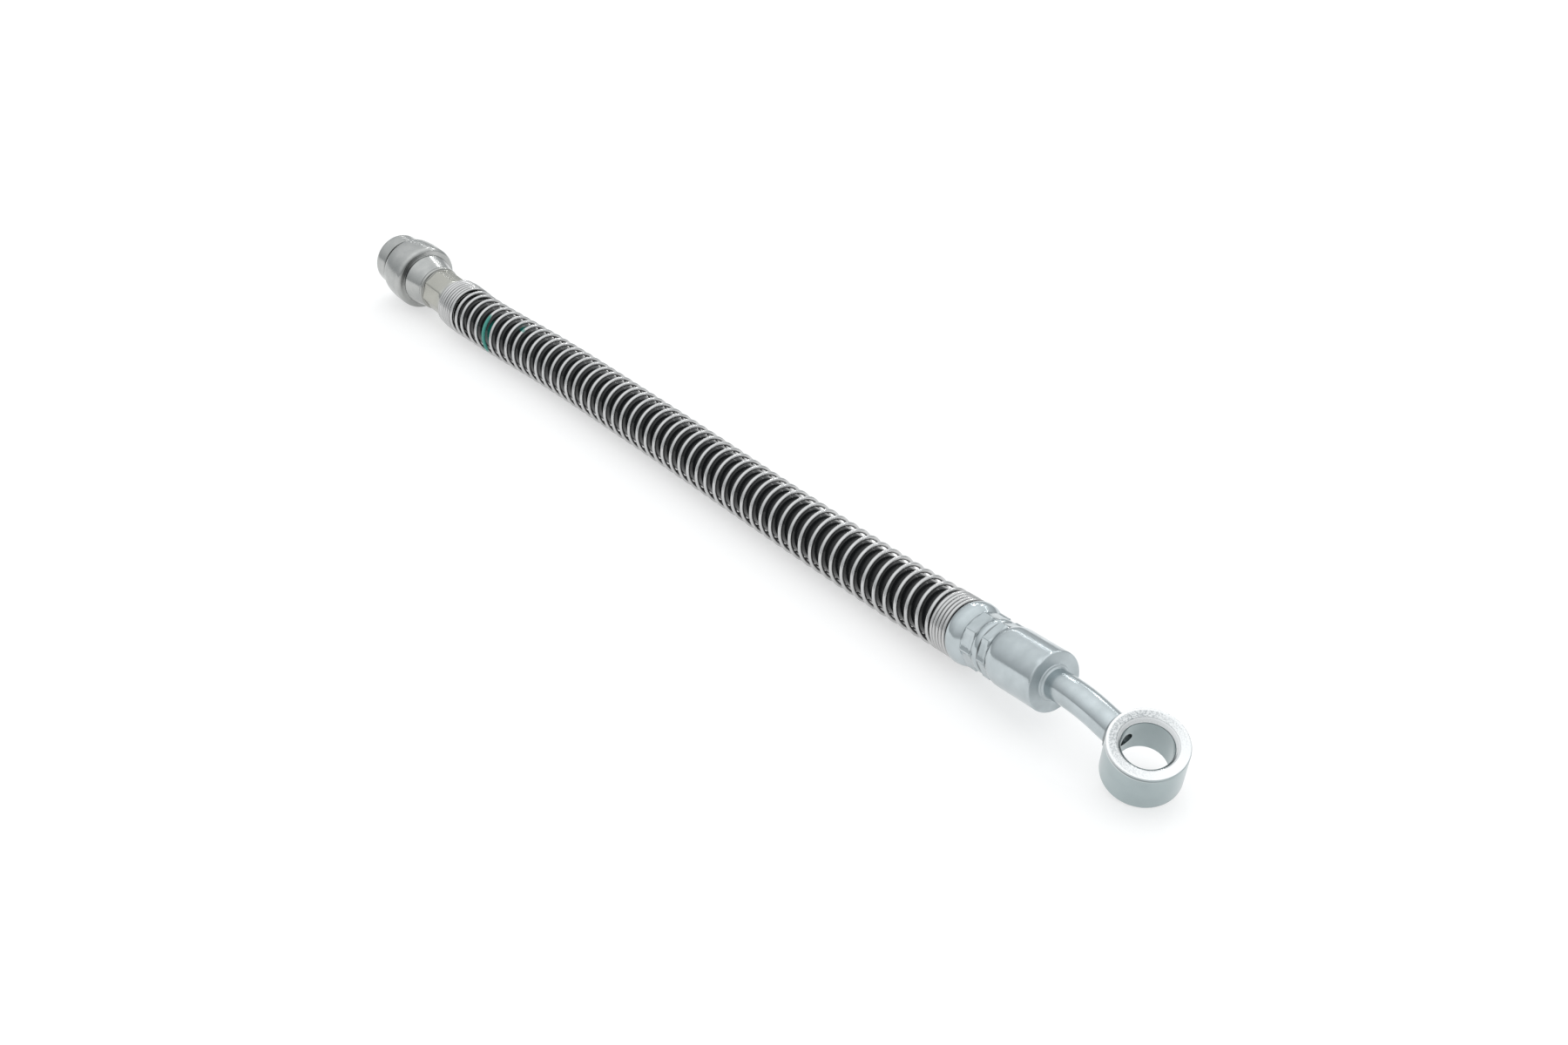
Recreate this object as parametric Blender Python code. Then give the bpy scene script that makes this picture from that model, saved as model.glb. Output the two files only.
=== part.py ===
"""Brake hose with a guard spring: a female fitting at one end, a bent banjo end at the other.

The hose lies on the floor as it would come to rest: on the spring's underside, on the
female fitting's flange and on the lower rim of the banjo eye. +X runs from the female
fitting to the banjo eye, +Z is up, and the origin is under the middle of the part.
All sizes are in metres.
"""
import math

import bmesh
import bpy
import numpy as np
from mathutils import Matrix, Vector

# Clearances
TOUCH_GAP = 0.0003
LAYER_GAP = 0.0002
NIPPLE_GAP = 0.0002
HOSE_END_CLEARANCE = 0.0004
SPRING_CLEARANCE = 0.00048
FEMALE_COIL_CLEARANCE = 0.00049
FIRST_TURN_CLEARANCE = 0.00014
FERRULE_TAIL_CLEARANCE = 0.00043
CLOSE_TURN_CLEARANCE = 0.00006

# Hose, from the bore outwards
BORE_DIAMETER = 0.0032
LINER_WALL = 0.0010
INNER_BRAID_WALL = 0.00035
CUSHION_WALL = 0.00030
OUTER_BRAID_WALL = 0.00035
COVER_WALL = 0.0010

# Guard spring. Its turns are counted where they cross the upper near side, at the counting
# angle, and the wire's steps start where one of them in each turn lies right underneath.
WIRE_DIAMETER = 0.00096
OPEN_TURNS = 53
FEMALE_CLOSE_TURNS = 7
FEMALE_WIDENING_TURNS = 2
FEMALE_RUNOUT_TURNS = 2
FEMALE_RUNOUT_PITCH = 0.00257
BANJO_CLOSE_TURNS = 4
BANJO_RUNOUT_TURNS = 1
BANJO_RUNOUT_PITCH = 0.00172
COUNTING_ANGLE = math.radians(137)
WIRE_START_ANGLE = math.radians(198)
WIRE_END_RUN = math.radians(85)

# Where the female fitting's mouth stands, and the hose's way from it to the ferrule's mouth:
# distances towards the banjo end and to the left, and how far the spring is lifted off the floor
MOUTH_X = -0.11157
MOUTH_Y = 0.00167
ROUTE = (
    (0.0000, 0.00060, 0.00039),
    (0.0040, 0.00066, 0.00015),
    (0.0100, 0.00074, 0.00000),
    (0.0200, 0.00095, 0.00000),
    (0.0350, 0.00152, 0.00000),
    (0.0500, 0.00168, 0.00000),
    (0.0650, 0.00156, 0.00000),
    (0.0800, 0.00134, 0.00000),
    (0.0950, 0.00112, 0.00000),
    (0.1100, 0.00078, 0.00000),
    (0.1250, 0.00040, 0.00000),
    (0.1400, 0.00006, 0.00000),
    (0.1550, -0.00018, 0.00000),
    (0.1757, -0.00030, 0.00000),
    (0.1830, -0.00036, 0.00012),
    (0.1910, -0.00060, 0.00058),
    (0.1990, -0.00103, 0.00125),
)
FEMALE_DROP = math.radians(4.34)
FEMALE_YAW = math.radians(0.7)
FERRULE_RISE = math.radians(5.7)
FERRULE_YAW = math.radians(-4.97)
ROUTE_SAMPLES = 60
TANGENT_STEP = 0.0004

# Female fitting, one turned piece, from the mouth of its skirt outwards
FEMALE_TAIL_DIAMETER = 0.0112
FEMALE_TAIL_LENGTH = 0.0072
NECK_DIAMETER = 0.0112
NECK_LENGTH = 0.0091
SHOULDER_START_DIAMETER = 0.0119
SHOULDER_MIDDLE_DIAMETER = 0.0132
SHOULDER_DIAMETER = 0.0150
SHOULDER_LENGTH = 0.0072
FLANGE_DIAMETER = 0.0181
FLANGE_LENGTH = 0.0096
FLANGE_BAND = 0.0058
FLANGE_EDGE = 0.0005
FLANGE_REAR_DIAMETER = 0.0142
CLIP_GROOVE_WIDTH = 0.0010
CLIP_GROOVE_DIAMETER = 0.0126
COLLAR_DIAMETER = 0.0147
COLLAR_LENGTH = 0.0051
COLLAR_CHAMFER = 0.0006
PORT_DIAMETER = 0.0090
PORT_DEPTH = 0.0105
PORT_CHAMFER = 0.0006
SEAT_HEIGHT = 0.0016
SEAT_TOP_DIAMETER = 0.0042
PORT_WEB = 0.0020

# Crimped walls and the barbed nipples inside the hose
CRIMPED_WALL = 0.00115
CRIMP_SLOPE = 0.0010
NIPPLE_BORE = 0.0018
BARB_HEIGHT = 0.00012
BARB_COUNT = 3
NIPPLE_SHORTER = 0.0010
NIPPLE_TIP_TAPER = 0.0007

# Banjo ferrule, one turned and crimped shell, from its mouth outwards
FERRULE_TAIL_LENGTH = 0.0042
FERRULE_TAIL_WALL = 0.00045
BULB_DIAMETER = 0.0141
BULB_EDGE_DIAMETER = 0.0131
BULB_LENGTH = 0.0040
BULB_RISE = 1 / 3
CRIMP_DIAMETER = 0.0115
CRIMP_1_LENGTH = 0.0033
RIDGE_DIAMETER = 0.0122
RIDGE_LENGTH = 0.0008
CRIMP_2_LENGTH = 0.0022
FERRULE_BODY_DIAMETER = 0.0132
FERRULE_BODY_LENGTH = 0.0126
FERRULE_EDGE = 0.0002
BODY_RISE = 0.0020
END_WALL = 0.0022
BOSS_DIAMETER = 0.0086
BOSS_HEIGHT = 0.0009
CRIMP_JAWS = 8

# Banjo pipe, turned with its nipple and bent
PIPE_DIAMETER = 0.0065
PIPE_BORE = 0.0030
PIPE_COLLAR_DIAMETER = 0.0092
PIPE_COLLAR_LENGTH = 0.0012
PIPE_LEAD = 0.0037
PIPE_BEND_RADIUS = 0.0245
PIPE_BEND = math.radians(22.9)
PIPE_BEND_ROLL = math.radians(17.9)
PIPE_END_LENGTH = 0.01145
PIPE_EYE_ROLL = math.radians(-5.1)

# Banjo eye
EYE_DIAMETER = 0.0161
EYE_THICKNESS = 0.0099
EYE_BORE = 0.0102
EYE_CHAMFER = 0.0006
EYE_EDGE = 0.00025
SOCKET_DEPTH = 0.0011
CROSS_HOLE = 0.0030

# How finely round pieces are faceted, which edges stay sharp, and how near corners are merged
HOSE_SIDES = 12
HOSE_FREE_SPANS = 12
WIRE_BEVEL_RESOLUTION = 1
STEPS_PER_TURN = 10
TURNED_SIDES = 24
CROWN_STEPS = 4
BULB_STEPS = 5
PIPE_SIDES = 16
PIPE_BEND_STEPS = 6
EYE_SIDES = 36
SHARP_EDGE_ANGLE = math.radians(32)
MERGE_DISTANCE = 1e-6

# Radii of the hose's layers, worked out from the bore and the walls
LINER_INNER = BORE_DIAMETER / 2
LINER_OUTER = LINER_INNER + LINER_WALL
INNER_BRAID_INNER = LINER_OUTER + LAYER_GAP
INNER_BRAID_OUTER = INNER_BRAID_INNER + INNER_BRAID_WALL
CUSHION_INNER = INNER_BRAID_OUTER + LAYER_GAP
CUSHION_OUTER = CUSHION_INNER + CUSHION_WALL
OUTER_BRAID_INNER = CUSHION_OUTER + LAYER_GAP
OUTER_BRAID_OUTER = OUTER_BRAID_INNER + OUTER_BRAID_WALL
COVER_INNER = OUTER_BRAID_OUTER + LAYER_GAP
HOSE_RADIUS = COVER_INNER + COVER_WALL
SKIRT_BORE = HOSE_RADIUS + TOUCH_GAP
NIPPLE_RADIUS = LINER_INNER - NIPPLE_GAP

# Radii of the spring's wire, and the height at which its open turns rest on the floor
SPRING_INSIDE = HOSE_RADIUS + SPRING_CLEARANCE
COIL_RADIUS = SPRING_INSIDE + WIRE_DIAMETER / 2
FEMALE_COIL_RADIUS = FEMALE_TAIL_DIAMETER / 2 + FEMALE_COIL_CLEARANCE + WIRE_DIAMETER / 2
FIRST_TURN_RADIUS = FEMALE_TAIL_DIAMETER / 2 + FIRST_TURN_CLEARANCE + WIRE_DIAMETER / 2
REST_HEIGHT = COIL_RADIUS + WIRE_DIAMETER / 2
CLOSE_PITCH = WIRE_DIAMETER + CLOSE_TURN_CLEARANCE

# Distances along the female fitting, from the mouth of its skirt
NECK_START = FEMALE_TAIL_LENGTH
NECK_END = NECK_START + NECK_LENGTH
SHOULDER_END = NECK_END + SHOULDER_LENGTH
FLANGE_END = SHOULDER_END + FLANGE_LENGTH
GROOVE_END = FLANGE_END + CLIP_GROOVE_WIDTH
FEMALE_LENGTH = GROOVE_END + COLLAR_LENGTH
PORT_FLOOR = FEMALE_LENGTH - PORT_DEPTH
FEMALE_POCKET = PORT_FLOOR - PORT_WEB
FEMALE_HOSE_INSERT = FEMALE_POCKET - HOSE_END_CLEARANCE
NECK_BORE = NECK_DIAMETER / 2 - CRIMPED_WALL

# Distances along the ferrule, from its mouth
BULB_END = FERRULE_TAIL_LENGTH + BULB_LENGTH
CRIMP_1_END = BULB_END + CRIMP_1_LENGTH
RIDGE_START = CRIMP_1_END + CRIMP_SLOPE
RIDGE_END = RIDGE_START + RIDGE_LENGTH
CRIMP_2_START = RIDGE_END + CRIMP_SLOPE / 2
CRIMP_2_END = CRIMP_2_START + CRIMP_2_LENGTH
BODY_START = CRIMP_2_END + BODY_RISE
FERRULE_FACE = BODY_START + FERRULE_BODY_LENGTH
FERRULE_POCKET = FERRULE_FACE - END_WALL - PIPE_COLLAR_LENGTH - TOUCH_GAP
FERRULE_HOSE_INSERT = FERRULE_POCKET - HOSE_END_CLEARANCE
FERRULE_TAIL_RADIUS = SPRING_INSIDE - FERRULE_TAIL_CLEARANCE
FERRULE_TAIL_BORE = FERRULE_TAIL_RADIUS - FERRULE_TAIL_WALL
CRIMP_BORE = CRIMP_DIAMETER / 2 - CRIMPED_WALL


def clear_scene():
    """Removes whatever the scene holds, so that the part is built into an empty one."""
    for item in list(bpy.data.objects):
        bpy.data.objects.remove(item)


def finish(name, colour, roughness, metallic):
    """One Principled material, with the piece's colour, roughness and metallic value."""
    material = bpy.data.materials.new(name)
    material.use_nodes = True
    shader = material.node_tree.nodes["Principled BSDF"]
    shader.inputs["Base Color"].default_value = (*colour, 1.0)
    shader.inputs["Roughness"].default_value = roughness
    shader.inputs["Metallic"].default_value = metallic
    return material


def heading(yaw, rise):
    """The unit vector that runs along +X, turned sideways by yaw and upwards by rise."""
    return np.array((math.cos(rise) * math.cos(yaw), math.cos(rise) * math.sin(yaw), math.sin(rise)))


def sample_route():
    """A smooth curve through the route's points: cubic pieces whose slopes match where they meet."""
    points = np.array(ROUTE) + np.array((MOUTH_X, MOUTH_Y, REST_HEIGHT))
    knots = np.concatenate(([0.0], np.cumsum(np.linalg.norm(np.diff(points, axis=0), axis=1))))
    slopes = np.gradient(points, knots, axis=0)
    slopes[0] = heading(FEMALE_YAW, -FEMALE_DROP)
    slopes[-1] = heading(FERRULE_YAW, FERRULE_RISE)
    pieces = []
    for i in range(len(points) - 1):
        length = knots[i + 1] - knots[i]
        t = np.linspace(0.0, 1.0, ROUTE_SAMPLES, endpoint=False)[:, None]
        pieces.append(
            (2 * t ** 3 - 3 * t ** 2 + 1) * points[i]
            + (t ** 3 - 2 * t ** 2 + t) * length * slopes[i]
            + (-2 * t ** 3 + 3 * t ** 2) * points[i + 1]
            + (t ** 3 - t ** 2) * length * slopes[i + 1]
        )
    curve = np.concatenate(pieces + [points[-1:]])
    distance = np.concatenate(([0.0], np.cumsum(np.linalg.norm(np.diff(curve, axis=0), axis=1))))
    return curve, distance


CURVE, CURVE_DISTANCE = sample_route()
FREE_LENGTH = float(CURVE_DISTANCE[-1])


def place(distance):
    """The frame on the hose's centre line: the line itself is +X, and +Z is as upright as it can be.

    Distance is measured from the female fitting's mouth. Before it and past the ferrule's
    mouth the line runs straight on, along the axis of the fitting there.
    """
    inside = min(max(distance, 0.0), FREE_LENGTH)
    point = np.array([np.interp(inside, CURVE_DISTANCE, CURVE[:, k]) for k in range(3)])
    near = (max(inside - TANGENT_STEP, 0.0), min(inside + TANGENT_STEP, FREE_LENGTH))
    tangent = [np.diff(np.interp(near, CURVE_DISTANCE, CURVE[:, k]))[0] for k in range(3)]
    if distance <= 0.0:
        tangent = heading(FEMALE_YAW, -FEMALE_DROP)
    elif distance >= FREE_LENGTH:
        tangent = heading(FERRULE_YAW, FERRULE_RISE)
    along = Vector(tangent).normalized()
    point = Vector(point) + along * (distance - inside)
    return frame_at(point, along)


def frame_at(point, along, upright=Vector((0.0, 0.0, 1.0))):
    """A placing matrix at the point, with +X along the given direction and +Z near upright."""
    side = upright.cross(along).normalized()
    up = along.cross(side)
    matrix = Matrix.Identity(4)
    for column, vector in enumerate((along, side, up)):
        matrix[0][column], matrix[1][column], matrix[2][column] = vector
    matrix.translation = point
    return matrix


def keep(name, mesh, material, matrix=None):
    """Puts a mesh in the scene as one named piece, shaded smooth with its real edges sharp."""
    piece = bpy.data.objects.new(name, mesh)
    piece.data.materials.append(material)
    bpy.context.scene.collection.objects.link(piece)
    if matrix is not None:
        piece.matrix_world = matrix
    mesh.shade_smooth()
    mesh.set_sharp_from_angle(angle=SHARP_EDGE_ANGLE)
    return piece


def turned(name, profile, sides, material, matrix, shape=None):
    """Spins a closed profile of (distance along X, radius) round the piece's own +X axis."""
    builder = bmesh.new()
    corners = [builder.verts.new((x, 0.0, radius)) for x, radius in profile]
    edges = [builder.edges.new((corners[i - 1], corners[i])) for i in range(len(corners))]
    bmesh.ops.spin(builder, geom=corners + edges, cent=(0, 0, 0), axis=(1, 0, 0), angle=2 * math.pi,
                   steps=sides, use_merge=True, use_duplicate=False)
    bmesh.ops.remove_doubles(builder, verts=builder.verts, dist=MERGE_DISTANCE)
    if shape is not None:
        for vertex in builder.verts:
            shape(vertex.co)
    bmesh.ops.recalc_face_normals(builder, faces=builder.faces)
    mesh = bpy.data.meshes.new(name)
    builder.to_mesh(mesh)
    builder.free()
    return keep(name, mesh, material, matrix)


def swept(name, rings, sides, material):
    """Extrudes a ring from each of the given frames and radii to the next, and back to the first."""
    upright = Matrix.Rotation(math.radians(90), 4, "Y")
    places = [matrix @ upright @ Matrix.Diagonal((radius, radius, radius, 1.0)) for matrix, radius in rings]
    builder = bmesh.new()
    bmesh.ops.create_circle(builder, cap_ends=False, segments=sides, radius=1.0, matrix=places[0])
    edges = list(builder.edges)
    for i in range(1, len(places) + 1):
        grown = bmesh.ops.extrude_edge_only(builder, edges=edges)["geom"]
        edges = [item for item in grown if isinstance(item, bmesh.types.BMEdge)]
        corners = [item for item in grown if isinstance(item, bmesh.types.BMVert)]
        move = places[i % len(places)] @ places[i - 1].inverted()
        bmesh.ops.transform(builder, matrix=move, verts=corners)
    bmesh.ops.remove_doubles(builder, verts=builder.verts, dist=MERGE_DISTANCE)
    bmesh.ops.recalc_face_normals(builder, faces=builder.faces)
    mesh = bpy.data.meshes.new(name)
    builder.to_mesh(mesh)
    builder.free()
    return keep(name, mesh, material)


# Each fitting's bore round the hose, as (distance from its mouth, radius)
FEMALE_BORE_LINE = (
    (0.0, NECK_BORE),
    (NECK_END, NECK_BORE),
    (SHOULDER_END, SKIRT_BORE),
    (FEMALE_POCKET, SKIRT_BORE),
)
FERRULE_BORE_LINE = (
    (0.0, FERRULE_TAIL_BORE),
    (FERRULE_TAIL_LENGTH, FERRULE_TAIL_BORE),
    (FERRULE_TAIL_LENGTH + CRIMP_SLOPE, SKIRT_BORE),
    (BULB_END - CRIMP_SLOPE, SKIRT_BORE),
    (BULB_END, CRIMP_BORE),
    (CRIMP_2_END, CRIMP_BORE),
    (BODY_START, SKIRT_BORE),
    (FERRULE_FACE - END_WALL, SKIRT_BORE),
)


def squeeze(distance):
    """How far the fittings press the hose's outside in, at a distance along the hose."""
    if distance < 0:
        line, past = FEMALE_BORE_LINE, -distance
    elif distance > FREE_LENGTH:
        line, past = FERRULE_BORE_LINE, distance - FREE_LENGTH
    else:
        return 0.0
    bore = np.interp(past, [x for x, _ in line], [radius for _, radius in line])
    return HOSE_RADIUS + TOUCH_GAP - float(bore)


def hose_stations():
    """Distances where the hose's sections stand: at each fitting's bore corners, and wide apart between."""
    inside = CRIMP_SLOPE / 4
    outside = CRIMP_SLOPE * 2
    female = [-FEMALE_HOSE_INSERT] + [-x for x, _ in reversed(FEMALE_BORE_LINE[1:-1])] + [-inside, outside]
    free = [FREE_LENGTH * k / HOSE_FREE_SPANS for k in range(1, HOSE_FREE_SPANS)]
    ferrule = [-outside, inside] + [x for x, _ in FERRULE_BORE_LINE[1:-1]] + [FERRULE_HOSE_INSERT]
    return female + free + [FREE_LENGTH + distance for distance in ferrule]


def hose_layer(name, inner, outer, material):
    """One layer of the hose, pressed in by the crimps in proportion to its place in the wall."""
    def pressed(radius, distance):
        share = (radius - LINER_INNER) / (HOSE_RADIUS - LINER_INNER)
        return radius - share * squeeze(distance)

    stations = hose_stations()
    outside = [(place(distance), pressed(outer, distance)) for distance in stations]
    inside = [(place(distance), pressed(inner, distance)) for distance in reversed(stations)]
    return swept(name, outside + inside, HOSE_SIDES, material)


def guard_spring(material):
    """Round wire wound right-handed over the hose: close turns over both mouths, open turns between.

    The close turns start against the female fitting's neck and end against the ferrule's bulb,
    and the open turns share what is left between them. Past its last counted crossing the wire
    runs on round the underside, until it meets the bulb.
    """
    start = WIRE_DIAMETER / 2 - FEMALE_TAIL_LENGTH
    end = FREE_LENGTH + FERRULE_TAIL_LENGTH - TOUCH_GAP - WIRE_DIAMETER / 2
    female_coil = FEMALE_CLOSE_TURNS * CLOSE_PITCH
    female_runout = FEMALE_RUNOUT_TURNS * FEMALE_RUNOUT_PITCH
    banjo_coil = BANJO_CLOSE_TURNS * CLOSE_PITCH
    runout_end = start + female_coil + female_runout
    open_end = end - banjo_coil - BANJO_RUNOUT_TURNS * BANJO_RUNOUT_PITCH
    place_marks = (start, start + female_coil, runout_end, open_end, end - banjo_coil, end)
    turns = (FEMALE_CLOSE_TURNS, FEMALE_RUNOUT_TURNS, OPEN_TURNS, BANJO_RUNOUT_TURNS, BANJO_CLOSE_TURNS)
    turn_marks = [sum(turns[:k]) for k in range(len(turns) + 1)]
    radii = (FIRST_TURN_RADIUS, FEMALE_COIL_RADIUS, FEMALE_COIL_RADIUS, COIL_RADIUS)
    radius_marks = (0, FEMALE_WIDENING_TURNS, turn_marks[1], turn_marks[2])
    last_angle = 2 * math.pi * turn_marks[-1] + COUNTING_ANGLE + WIRE_END_RUN
    steps = int((last_angle - WIRE_START_ANGLE) * STEPS_PER_TURN / (2 * math.pi))
    points = []
    for step in range(steps + 1):
        angle = WIRE_START_ANGLE + 2 * math.pi * step / STEPS_PER_TURN
        turn = (angle - COUNTING_ANGLE) / (2 * math.pi)
        radius = float(np.interp(turn, radius_marks, radii))
        offset = Vector((0.0, radius * math.cos(angle), radius * math.sin(angle)))
        past_last = max(turn - turn_marks[-1], 0.0) * CLOSE_PITCH
        points.append(place(float(np.interp(turn, turn_marks, place_marks)) + past_last) @ offset)
    curve = bpy.data.curves.new("guard_spring", "CURVE")
    curve.dimensions = "3D"
    curve.bevel_depth = WIRE_DIAMETER / 2
    curve.bevel_resolution = WIRE_BEVEL_RESOLUTION
    curve.use_fill_caps = True
    wire = curve.splines.new("POLY")
    wire.points.add(len(points) - 1)
    for spot, point in zip(wire.points, points):
        spot.co = (*point, 1.0)
    piece = bpy.data.objects.new("guard_spring", curve)
    curve.materials.append(material)
    bpy.context.scene.collection.objects.link(piece)
    return piece


def nipple_outline(root):
    """A nipple from its tip, near the fitting's mouth, to its root, with barbs that grip the liner."""
    first = NIPPLE_SHORTER + NIPPLE_TIP_TAPER
    pitch = (root - first) / BARB_COUNT
    outline = [
        (NIPPLE_SHORTER, NIPPLE_BORE / 2),
        (NIPPLE_SHORTER, NIPPLE_RADIUS - BARB_HEIGHT * 2),
    ]
    for k in range(BARB_COUNT):
        outline.append((first + pitch * k, NIPPLE_RADIUS))
        outline.append((first + pitch * (k + 1), NIPPLE_RADIUS - BARB_HEIGHT))
    return outline


def female_fitting(material):
    """The turned fitting: port, collar, clip groove, flange, shoulder, crimped skirt and nipple."""
    flange = FLANGE_DIAMETER / 2
    crown_start = SHOULDER_END + FLANGE_BAND
    crown_drop = (FLANGE_DIAMETER - FLANGE_REAR_DIAMETER) / 2
    outside = [
        (0.0, FEMALE_TAIL_DIAMETER / 2),
        (NECK_START, FEMALE_TAIL_DIAMETER / 2),
        (NECK_START + CRIMP_SLOPE / 2, NECK_DIAMETER / 2),
        (NECK_END, NECK_DIAMETER / 2),
        (NECK_END, SHOULDER_START_DIAMETER / 2),
        (NECK_END + SHOULDER_LENGTH / 2, SHOULDER_MIDDLE_DIAMETER / 2),
        (SHOULDER_END, SHOULDER_DIAMETER / 2),
        (SHOULDER_END, flange - FLANGE_EDGE),
        (SHOULDER_END + FLANGE_EDGE, flange),
        (crown_start, flange),
    ]
    for k in range(1, CROWN_STEPS + 1):
        angle = math.pi / 2 * k / CROWN_STEPS
        outside.append((crown_start + (FLANGE_LENGTH - FLANGE_BAND) * math.sin(angle),
                        flange - crown_drop * (1 - math.cos(angle))))
    port = [
        (FLANGE_END, CLIP_GROOVE_DIAMETER / 2),
        (GROOVE_END, CLIP_GROOVE_DIAMETER / 2),
        (GROOVE_END, COLLAR_DIAMETER / 2),
        (FEMALE_LENGTH - COLLAR_CHAMFER, COLLAR_DIAMETER / 2),
        (FEMALE_LENGTH, COLLAR_DIAMETER / 2 - COLLAR_CHAMFER),
        (FEMALE_LENGTH, PORT_DIAMETER / 2 + PORT_CHAMFER),
        (FEMALE_LENGTH - PORT_CHAMFER, PORT_DIAMETER / 2),
        (PORT_FLOOR, PORT_DIAMETER / 2),
        (PORT_FLOOR + SEAT_HEIGHT, SEAT_TOP_DIAMETER / 2),
        (PORT_FLOOR + SEAT_HEIGHT, NIPPLE_BORE / 2),
    ]
    nipple = nipple_outline(FEMALE_POCKET)
    pocket = list(reversed(FEMALE_BORE_LINE))
    mouth = place(0.0) @ Matrix.Rotation(math.pi, 4, "Z")
    return turned("female_fitting", outside + port + nipple + pocket, TURNED_SIDES, material, mouth)


def crimp_facets(corner):
    """Moves a ring's corner out to the flats of the crimping jaws, where the ferrule is crimped."""
    in_first = BULB_END - MERGE_DISTANCE <= corner.x <= CRIMP_1_END + MERGE_DISTANCE
    in_second = CRIMP_2_START - MERGE_DISTANCE <= corner.x <= CRIMP_2_END + MERGE_DISTANCE
    outside = math.hypot(corner.y, corner.z) > CRIMP_DIAMETER / 2 - MERGE_DISTANCE
    if not (outside and (in_first or in_second)):
        return
    jaw = 2 * math.pi / CRIMP_JAWS
    off_middle = (math.atan2(corner.z, corner.y) + jaw / 2) % jaw - jaw / 2
    corner.y /= math.cos(off_middle)
    corner.z /= math.cos(off_middle)


def banjo_ferrule(material):
    """The turned shell round the hose's banjo end, crimped in two bands, with the pipe through its end."""
    bulb = BULB_DIAMETER / 2
    bulb_edge = BULB_EDGE_DIAMETER / 2
    crimp = CRIMP_DIAMETER / 2
    ridge = RIDGE_DIAMETER / 2
    body = FERRULE_BODY_DIAMETER / 2
    pipe_hole = PIPE_DIAMETER / 2 + TOUCH_GAP
    boss = BOSS_DIAMETER / 2
    outside = [
        (0.0, FERRULE_TAIL_RADIUS),
        (FERRULE_TAIL_LENGTH, FERRULE_TAIL_RADIUS),
        (FERRULE_TAIL_LENGTH, bulb_edge),
    ]
    for k in range(1, BULB_STEPS):
        share = k / BULB_STEPS
        rising = share < BULB_RISE
        past_top = share - BULB_RISE
        swell = math.cos(math.pi / 2 * past_top / (BULB_RISE if rising else 1 - BULB_RISE))
        low = bulb_edge if rising else crimp
        outside.append((FERRULE_TAIL_LENGTH + BULB_LENGTH * share, low + (bulb - low) * swell))
    outside += [
        (BULB_END, crimp),
        (CRIMP_1_END, crimp),
        (RIDGE_START, ridge),
        (RIDGE_END, ridge),
        (CRIMP_2_START, crimp),
        (CRIMP_2_END, crimp),
        (BODY_START - BODY_RISE / 2, (body * 2 + crimp) / 3),
        (BODY_START, body),
        (FERRULE_FACE - FERRULE_EDGE, body),
        (FERRULE_FACE, body - FERRULE_EDGE),
        (FERRULE_FACE, boss),
        (FERRULE_FACE + BOSS_HEIGHT / 2, boss),
        (FERRULE_FACE + BOSS_HEIGHT, (boss + pipe_hole) / 2),
        (FERRULE_FACE + BOSS_HEIGHT, pipe_hole),
        (FERRULE_FACE - END_WALL, pipe_hole),
    ]
    profile = outside + list(reversed(FERRULE_BORE_LINE))
    return turned("banjo_ferrule", profile, TURNED_SIDES, material, place(FREE_LENGTH), crimp_facets)


def pipe_bend():
    """Frames along the pipe's bend, from its start to its end."""
    face = place(FREE_LENGTH + FERRULE_FACE)
    start = face @ Matrix.Rotation(PIPE_BEND_ROLL, 4, "X") @ Matrix.Translation((PIPE_LEAD, 0.0, 0.0))
    frames = [start]
    for k in range(1, PIPE_BEND_STEPS + 1):
        angle = PIPE_BEND * k / PIPE_BEND_STEPS
        swing = Matrix.Translation((0.0, 0.0, -PIPE_BEND_RADIUS)) @ Matrix.Rotation(angle, 4, "Y")
        frames.append(start @ swing @ Matrix.Translation((0.0, 0.0, PIPE_BEND_RADIUS)))
    return frames


def eye_frame():
    """The middle of the eye: +X carries on from the pipe's end and +Z is the bore's axis."""
    return pipe_bend()[-1] @ Matrix.Translation((PIPE_END_LENGTH, 0.0, 0.0)) @ Matrix.Rotation(
        PIPE_EYE_ROLL, 4, "X")


def banjo_pipe(material):
    """The bent pipe: its nipple holds the hose, its collar sits behind the ferrule's end wall."""
    frames = pipe_bend()
    collar_back = FERRULE_FACE - END_WALL - TOUCH_GAP - PIPE_COLLAR_LENGTH
    collar_front = collar_back + PIPE_COLLAR_LENGTH
    nipple = nipple_outline(collar_back)
    collar = [
        (collar_back, PIPE_COLLAR_DIAMETER / 2),
        (collar_front, PIPE_COLLAR_DIAMETER / 2),
        (collar_front, PIPE_DIAMETER / 2),
    ]
    straight = [(place(FREE_LENGTH + x), radius) for x, radius in nipple + collar]
    eye_side = math.sqrt((EYE_DIAMETER / 2) ** 2 - (PIPE_DIAMETER / 2) ** 2)
    reach = PIPE_END_LENGTH - eye_side + SOCKET_DEPTH - TOUCH_GAP
    end = frames[-1] @ Matrix.Translation((reach, 0.0, 0.0))
    unrolled = [frame @ Matrix.Rotation(-PIPE_BEND_ROLL, 4, "X") for frame in frames + [end]]
    bent = [(frame, PIPE_DIAMETER / 2) for frame in unrolled]
    bore = [(frame, PIPE_BORE / 2) for frame in reversed(unrolled)]
    bore.append((place(FREE_LENGTH + collar_front), PIPE_BORE / 2))
    bore.append((place(FREE_LENGTH + collar_front), NIPPLE_BORE / 2))
    return swept("banjo_pipe", straight + bent + bore, PIPE_SIDES, material)


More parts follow.
